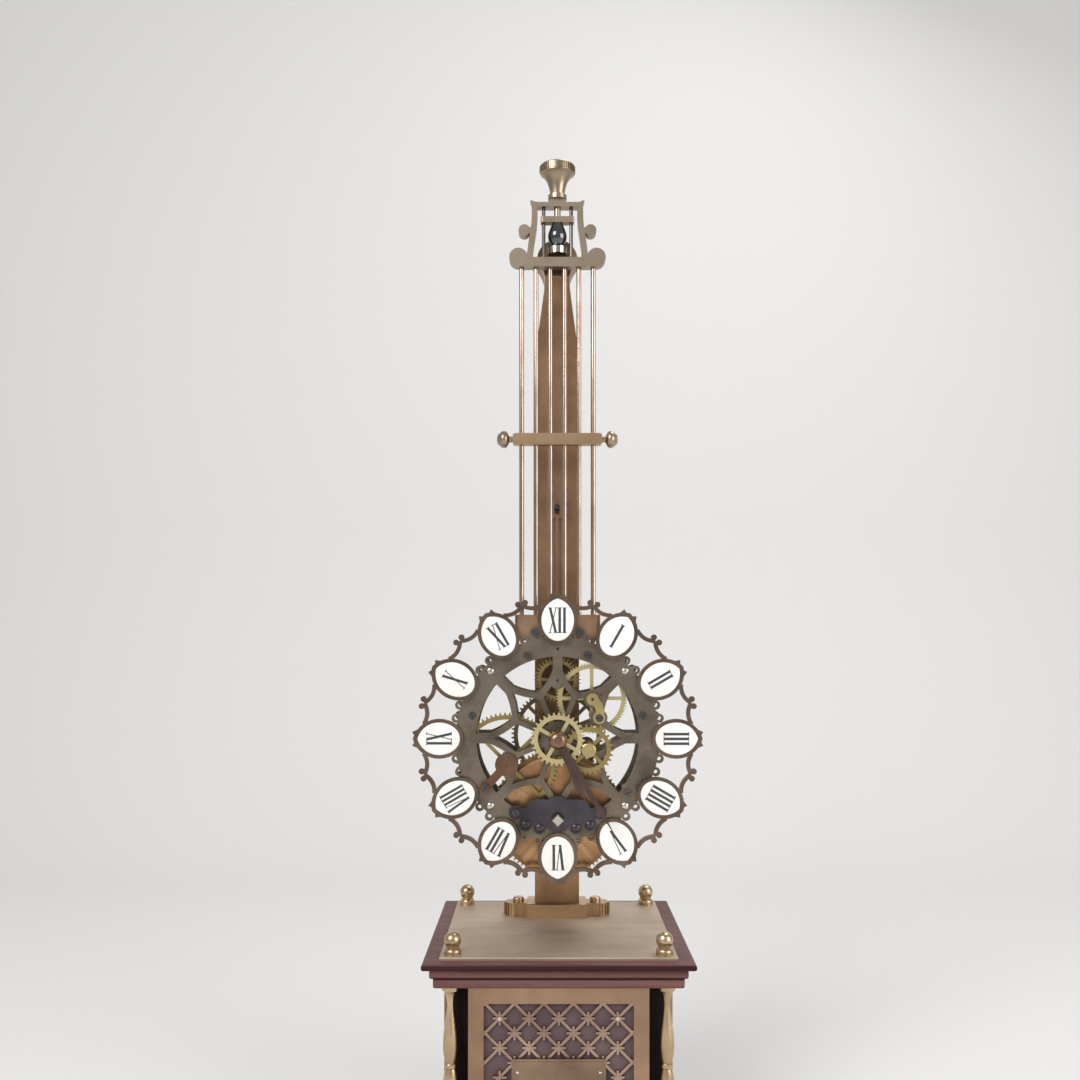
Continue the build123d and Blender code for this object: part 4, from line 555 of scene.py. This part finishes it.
# %% Numeral strokes
numeral_height = 15.2
numeral_middle = 70.7
numeral_room = 11.6
heavy, fine, serif = 1.55, 0.5, 0.42
ink_sunk, ink_raised, ink_step = 0.05, 0.05, 0.004


def stroke(x_low, x_high, width):
    """A slanted or upright bar from the foot at x_low to the head at x_high."""
    side, half = width / 2, numeral_height / 2
    return [(x_low - side, -half), (x_low + side, -half), (x_high + side, half), (x_high - side, half)]


def foot(x, up, width):
    """A small level foot at the head or the base of a stroke."""
    y = numeral_height / 2 * (1 if up else -1)
    low, high = (y - serif, y) if up else (y, y + serif)
    return [(x - width / 2, low), (x + width / 2, low), (x + width / 2, high), (x - width / 2, high)]


def letter(kind):
    """Strokes of I, V or X about its own middle, with its width."""
    if kind == "I":
        return [stroke(0, 0, heavy), foot(0, True, 2.6), foot(0, False, 2.6)], 2.85
    if kind == "V":
        return [stroke(0.1, -1.7, heavy), stroke(0.25, 1.85, fine),
                foot(-1.7, True, 2.5), foot(1.85, True, 1.9)], 4.7
    return [stroke(1.75, -1.75, heavy), stroke(-1.8, 1.8, fine),
            foot(-1.75, True, 2.4), foot(1.8, True, 1.8),
            foot(1.75, False, 2.4), foot(-1.8, False, 1.8)], 5.2


def numeral(text):
    """All strokes of a numeral, set side by side and narrowed where it would not fit its plaque."""
    letters = [letter(kind) for kind in text]
    total = sum(width for _, width in letters)
    narrow = min(1.0, numeral_room / total)
    strokes, x = [], -total / 2
    for shapes, width in letters:
        strokes += [[((x + width / 2 + px) * narrow, py) for px, py in shape] for shape in shapes]
        x += width
    return strokes


print("numerals", numeral_height, "mm high")

# %% Numerals on the plaques
hours = ("XII", "I", "II", "III", "IIII", "V", "VI", "VII", "VIII", "IX", "X", "XI")
ink_mesh = bmesh.new()
for hour, text in enumerate(hours):
    turn = math.radians(30 * hour)
    for i, shape in enumerate(numeral(text)):
        lift = ink_raised + ink_step * (i % 5)
        rings = []
        for height in (-ink_sunk, lift):
            ring = []
            for u, v in shape:
                r = numeral_middle + v
                x = u * math.cos(turn) + r * math.sin(turn)
                z = -u * math.sin(turn) + r * math.cos(turn)
                place = (dial.x + x * MM, plaque_front - height * MM, dial.z + z * MM)
                ring.append(ink_mesh.verts.new(place))
            rings.append(ring)
        ink_mesh.faces.new(rings[1])
        ink_mesh.faces.new(rings[0][::-1])
        for k in range(4):
            ink_mesh.faces.new((rings[0][k], rings[0][(k + 1) % 4], rings[1][(k + 1) % 4], rings[1][k]))
bmesh.ops.recalc_face_normals(ink_mesh, faces=ink_mesh.faces)
numeral_data = bpy.data.meshes.new("hour_numerals")
ink_mesh.to_mesh(numeral_data)
ink_mesh.free()
numerals = bpy.data.objects.new("hour_numerals", numeral_data)
bpy.context.scene.collection.objects.link(numerals)

ink = clouded("numeral_ink", rgb(72, 72, 74), rgb(52, 52, 54), 0.3, 0.5)[0]
numeral_data.materials.append(ink)
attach(numerals, "pendulum")
print("numerals:", len(hours), "faces:", len(numeral_data.polygons))

# %% [markdown]
# Repeated small work
#
# The knob's rim has fine upright ribs, screws have slots, and small studs hold the dial and the bridge.
# Geometry Nodes make them: a tree takes points, puts one small item on each, realizes the copies and gives
# them their material. The points are a plain mesh of single vertices, so the same tree serves every set.
# One tree puts bars on the points and one puts domes; the size and the finish are named inputs of both.


# %% Trees that put an item on every point
def points_tree(name, result):
    """Geometry Nodes tree for items on points, each turned by its point; the item is linked in later."""
    tree = bpy.data.node_groups.new(name, "GeometryNodeTree")
    for label, kind in (("Points", "Geometry"), ("Size", "Vector"), ("Finish", "Material")):
        tree.interface.new_socket(name=label, in_out="INPUT", socket_type="NodeSocket" + kind)
    tree.interface.new_socket(name=result, in_out="OUTPUT", socket_type="NodeSocketGeometry")
    group_in, group_out = tree.nodes.new("NodeGroupInput"), tree.nodes.new("NodeGroupOutput")
    turn = tree.nodes.new("GeometryNodeInputNamedAttribute")
    turn.data_type = "FLOAT_VECTOR"
    turn.inputs["Name"].default_value = "turn"
    on_points = tree.nodes.new("GeometryNodeInstanceOnPoints")
    real = tree.nodes.new("GeometryNodeRealizeInstances")
    finish = tree.nodes.new("GeometryNodeSetMaterial")
    for start, end in ((group_in.outputs["Points"], on_points.inputs["Points"]),
                       (turn.outputs["Attribute"], on_points.inputs["Rotation"]),
                       (on_points.outputs["Instances"], real.inputs["Geometry"]),
                       (real.outputs["Geometry"], finish.inputs["Geometry"]),
                       (group_in.outputs["Finish"], finish.inputs["Material"]),
                       (finish.outputs["Geometry"], group_out.inputs[result])):
        tree.links.new(start, end)
    return tree, group_in, on_points


bars, group_in, on_points = points_tree("bars_on_points", "Bars")
bar = bars.nodes.new("GeometryNodeMeshCube")
bars.links.new(group_in.outputs["Size"], bar.inputs["Size"])
bars.links.new(bar.outputs["Mesh"], on_points.inputs["Instance"])

domes, group_in, on_points = points_tree("domes_on_points", "Domes")
ball = domes.nodes.new("GeometryNodeMeshUVSphere")
ball.inputs["Segments"].default_value = 24
ball.inputs["Rings"].default_value = 12
smooth = domes.nodes.new("GeometryNodeSetShadeSmooth")
domes.links.new(ball.outputs["Mesh"], smooth.inputs["Geometry"])
domes.links.new(smooth.outputs["Geometry"], on_points.inputs["Instance"])
domes.links.new(group_in.outputs["Size"], on_points.inputs["Scale"])
print("trees:", bars.name, domes.name)


def points_to_mesh(name, tree, places, size, material, body):
    """Run a tree on places, each (point, turn), and keep the result as a plain mesh that rides on a body."""
    mesh = bpy.data.meshes.new(name + "_points")
    mesh.from_pydata([tuple(point) for point, _ in places], [], [])
    turns = mesh.attributes.new("turn", "FLOAT_VECTOR", "POINT")
    for item, (_, turn) in zip(turns.data, places):
        item.vector = turn
    piece = bpy.data.objects.new(name, mesh)
    bpy.context.scene.collection.objects.link(piece)
    modifier = piece.modifiers.new("repeat", "NODES")
    modifier.node_group = tree
    socket_of = {item.name: item.identifier for item in tree.interface.items_tree if item.in_out == "INPUT"}
    modifier[socket_of["Size"]] = size
    modifier[socket_of["Finish"]] = material
    graph = bpy.context.evaluated_depsgraph_get()
    made = bpy.data.meshes.new_from_object(piece.evaluated_get(graph))
    made.name = name
    piece.modifiers.remove(modifier)
    piece.data = made
    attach(piece, body)
    print(name, "copies:", len(places), "faces:", len(made.polygons))
    return piece


def bars_at(name, places, size, material, body):
    """Bars of one size at places."""
    return points_to_mesh(name, bars, places, size, material, body)


# %% [markdown]
# Ribs of the knob
#
# The ribs stand round the rim of the thumb screw and turn with it.

# %% Ribs of the knob's rim
knob_low, knob_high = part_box("rating_screw")
rim_radius = (knob_high[0] - knob_low[0]) / 2
rim_drop, rib_inset = 2.9 * MM, 0.05 * MM
rim_middle = knob_high[2] - rim_drop
pivot = joint_at["pendulum_swing"]
rib_count = 44
rib_size = (1.0 * MM, 0.7 * MM, 3.6 * MM)
reach = rim_radius - rib_inset
ribs = []
for i in range(rib_count):
    angle = 2 * math.pi * i / rib_count
    place = (pivot.x + reach * math.cos(angle), pivot.y + reach * math.sin(angle), rim_middle)
    ribs.append((place, (0, 0, angle)))
knob_ribs = bars_at("knob_ribs", ribs, rib_size, knob_brass, "rating")

# %% [markdown]
# Slots of the screws
#
# Screws hold the pillars, the block and the feet of the bridges. The places of their heads are given in
# millimetres from the dial's centre. Each slot is a thin dark bar let into the head, turned by a different
# angle, as screws come to rest.

# %% Screw slots
slot_dark = clouded("slot_shadow", rgb(38, 35, 33), rgb(24, 22, 21), 0.6, 0.8)[0]
slot_size = (4.0 * MM, 0.08 * MM, 0.55 * MM)
front_heads_y, rear_heads_y, bridge_heads_y = -14.6, 18.6, -17.1
pillar_circle, pillar_angles = 53.0, (70, 110, 165, 15, -37.5)
pillars = [(pillar_circle * math.cos(math.radians(angle)), pillar_circle * math.sin(math.radians(angle)))
           for angle in pillar_angles]
block_heads = [(-13.5, 63.4), (13.5, 63.4)]
bridge_heads = [(25.0, -44.0), (-25.0, -44.0), (-43.0, -29.0), (24.8, 12.4)]
slots = []
for i, (x, z) in enumerate(pillars + block_heads):
    for y in (front_heads_y, rear_heads_y):
        slots.append(((x * MM, y * MM, dial.z + z * MM), (0, 0.7 * i, 0)))
for i, (x, z) in enumerate(bridge_heads):
    slots.append(((x * MM, bridge_heads_y * MM, dial.z + z * MM), (0, 0.9 * i + 0.4, 0)))
screw_slots = bars_at("screw_slots", slots, slot_size, slot_dark, "pendulum")

# %% [markdown]
# Flutes of the foot
#
# The two lugs beside the column's foot are half round and fluted. The same bars, set upright side by side
# around each end, leave a groove between every two.

# %% Flutes on the lugs
foot_low, foot_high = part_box("column_foot")
bolt_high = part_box("foot_bolts")[1]
lug_radius, bolt_head, lug_margin = 6.5 * MM, 3.0 * MM, 1.0 * MM
lug_x, lug_y = foot_high[0] - lug_radius, (foot_low[1] + foot_high[1]) / 2
lug_low, lug_top = foot_low[2], bolt_high[2] - bolt_head
flute_size = (1.5 * MM, 0.9 * MM, lug_top - lug_low - lug_margin)
flute_step, flutes_each_way = 16, 6
flutes = []
for side in (1, -1):
    for i in range(-flutes_each_way, flutes_each_way + 1):
        angle = math.radians(flute_step * i) + (0 if side == 1 else math.pi)
        x = side * lug_x + lug_radius * math.cos(angle)
        y = lug_y + lug_radius * math.sin(angle)
        flutes.append(((x, y, (lug_low + lug_top) / 2), (0, 0, angle)))
lug_flutes = bars_at("lug_flutes", flutes, flute_size, foot_bronze, "stand")

# %% [markdown]
# Name plate
#
# The plate stays bare inside. A raised border runs round it, made of two long bars and two short ones.

# %% Border of the name plate
plate_low, plate_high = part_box("name_plate")
border_inset, border_bar = 1.6 * MM, 0.5 * MM
middle_z = (plate_low[2] + plate_high[2]) / 2
half_wide = (plate_high[0] - plate_low[0]) / 2 - border_inset
half_high = (plate_high[2] - plate_low[2]) / 2 - border_inset
rails = [((0, plate_low[1], middle_z + way * half_high), (0, 0, 0)) for way in (1, -1)]
stiles = [((way * half_wide, plate_low[1], middle_z), (0, 0, 0)) for way in (1, -1)]
for name, places, size in (
        ("border_rails", rails, (2 * half_wide + border_bar, border_bar, border_bar)),
        ("border_stiles", stiles, (border_bar, border_bar, 2 * half_high - border_bar))):
    bars_at(name, places, size, name_brass, "stand")

# %% [markdown]
# Domed studs
#
# Four bright studs hold the dial to the pierced plate, the bridge carries four dark ones on its lobes, and
# two small ones hold the name plate.

# %% Studs of the dial, the bridge and the name plate
plate_front, bridge_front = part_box("front_plate")[0][1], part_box("winding_bridge")[0][1]
stud_circle, stud_inset = 57 * MM, 1.6 * MM
dial_stud = (2.3 * MM, 1.2 * MM, 2.3 * MM)
bridge_stud = (2.7 * MM, 1.3 * MM, 2.7 * MM)
plate_stud = (0.9 * MM, 0.6 * MM, 0.9 * MM)
dial_studs = []
for angle in (45, 135, 225, 315):
    turn = math.radians(angle)
    dial_studs.append((stud_circle * math.cos(turn), plate_front, dial.z + stud_circle * math.sin(turn)))
bridge_studs = [(way * x * MM, bridge_front, dial.z + z * MM)
                for x, z in ((10.8, -53.2), (19.2, -51.4)) for way in (1, -1)]
plate_studs = [(way * (half_wide - stud_inset), plate_low[1], middle_z) for way in (1, -1)]
for name, places, size, material, body, slot in (
        ("dial_studs", dial_studs, dial_stud, pin_steel, "pendulum", "steel"),
        ("bridge_studs", bridge_studs, bridge_stud, blued_steel, "pendulum", "blued_steel"),
        ("name_plate_studs", plate_studs, plate_stud, pin_steel, "stand", "steel")):
    upright = [(place, (0, 0, 0)) for place in places]
    points_to_mesh(name, domes, upright, size, material, body)

# %% [markdown]
# Stage and light
#
# A pale floor that curves up into a backdrop, large soft lamps and a pale world. Metal is only as good as
# what it mirrors, so the world also shows in reflections.

# %% Floor and backdrop
floor_front, floor_back, half_span = -2.5, 0.7, 3.0
bend_radius, bend_steps, wall_top = 0.5, 12, 2.6
sweep = bmesh.new()
profile = [(floor_front, 0.0), (floor_back, 0.0)]
for i in range(1, bend_steps + 1):
    bend = math.radians(90 * i / bend_steps)
    profile.append((floor_back + bend_radius * math.sin(bend), bend_radius - bend_radius * math.cos(bend)))
profile.append((floor_back + bend_radius, wall_top))
rows = [[sweep.verts.new((x, y, z)) for x in (-half_span, half_span)] for y, z in profile]
for lower, upper in zip(rows, rows[1:]):
    face = sweep.faces.new((lower[0], lower[1], upper[1], upper[0]))
    face.smooth = True
sweep_data = bpy.data.meshes.new("pale_sweep")
sweep.to_mesh(sweep_data)
sweep.free()
backdrop = bpy.data.objects.new("pale_sweep", sweep_data)
bpy.context.scene.collection.objects.link(backdrop)
pale, shader, _ = new_material("pale_sweep")
shader.inputs["Base Color"].default_value = rgb(224, 223, 221)
shader.inputs["Roughness"].default_value = 0.9
sweep_data.materials.append(pale)
print("backdrop faces:", len(sweep_data.polygons))


# %% Lamps and world
def soft_lamp(name, place, aim, size, power):
    """A square area lamp that looks at a point."""
    data = bpy.data.lights.new(name, "AREA")
    data.shape = "SQUARE"
    data.size = size
    data.energy = power
    lamp = bpy.data.objects.new(name, data)
    lamp.location = place
    lamp.rotation_euler = (Vector(aim) - Vector(place)).to_track_quat("-Z", "Y").to_euler()
    lamp.visible_camera = False
    bpy.context.scene.collection.objects.link(lamp)


soft_lamp("key_lamp", (-0.9, -1.2, 1.3), (0, 0, 0.35), 0.9, 20.0)
soft_lamp("fill_lamp", (1.3, -0.9, 0.7), (0, 0, 0.35), 1.0, 12.0)
soft_lamp("rim_lamp", (0.5, 0.45, 1.7), (0, 0, 0.4), 0.7, 8.0)
world = bpy.data.worlds.new("studio_world")
bpy.context.scene.world = world
world.use_nodes = True
background = world.node_tree.nodes["Background"]
background.inputs["Color"].default_value = rgb(232, 232, 234)
background.inputs["Strength"].default_value = 0.55
print("stage set")
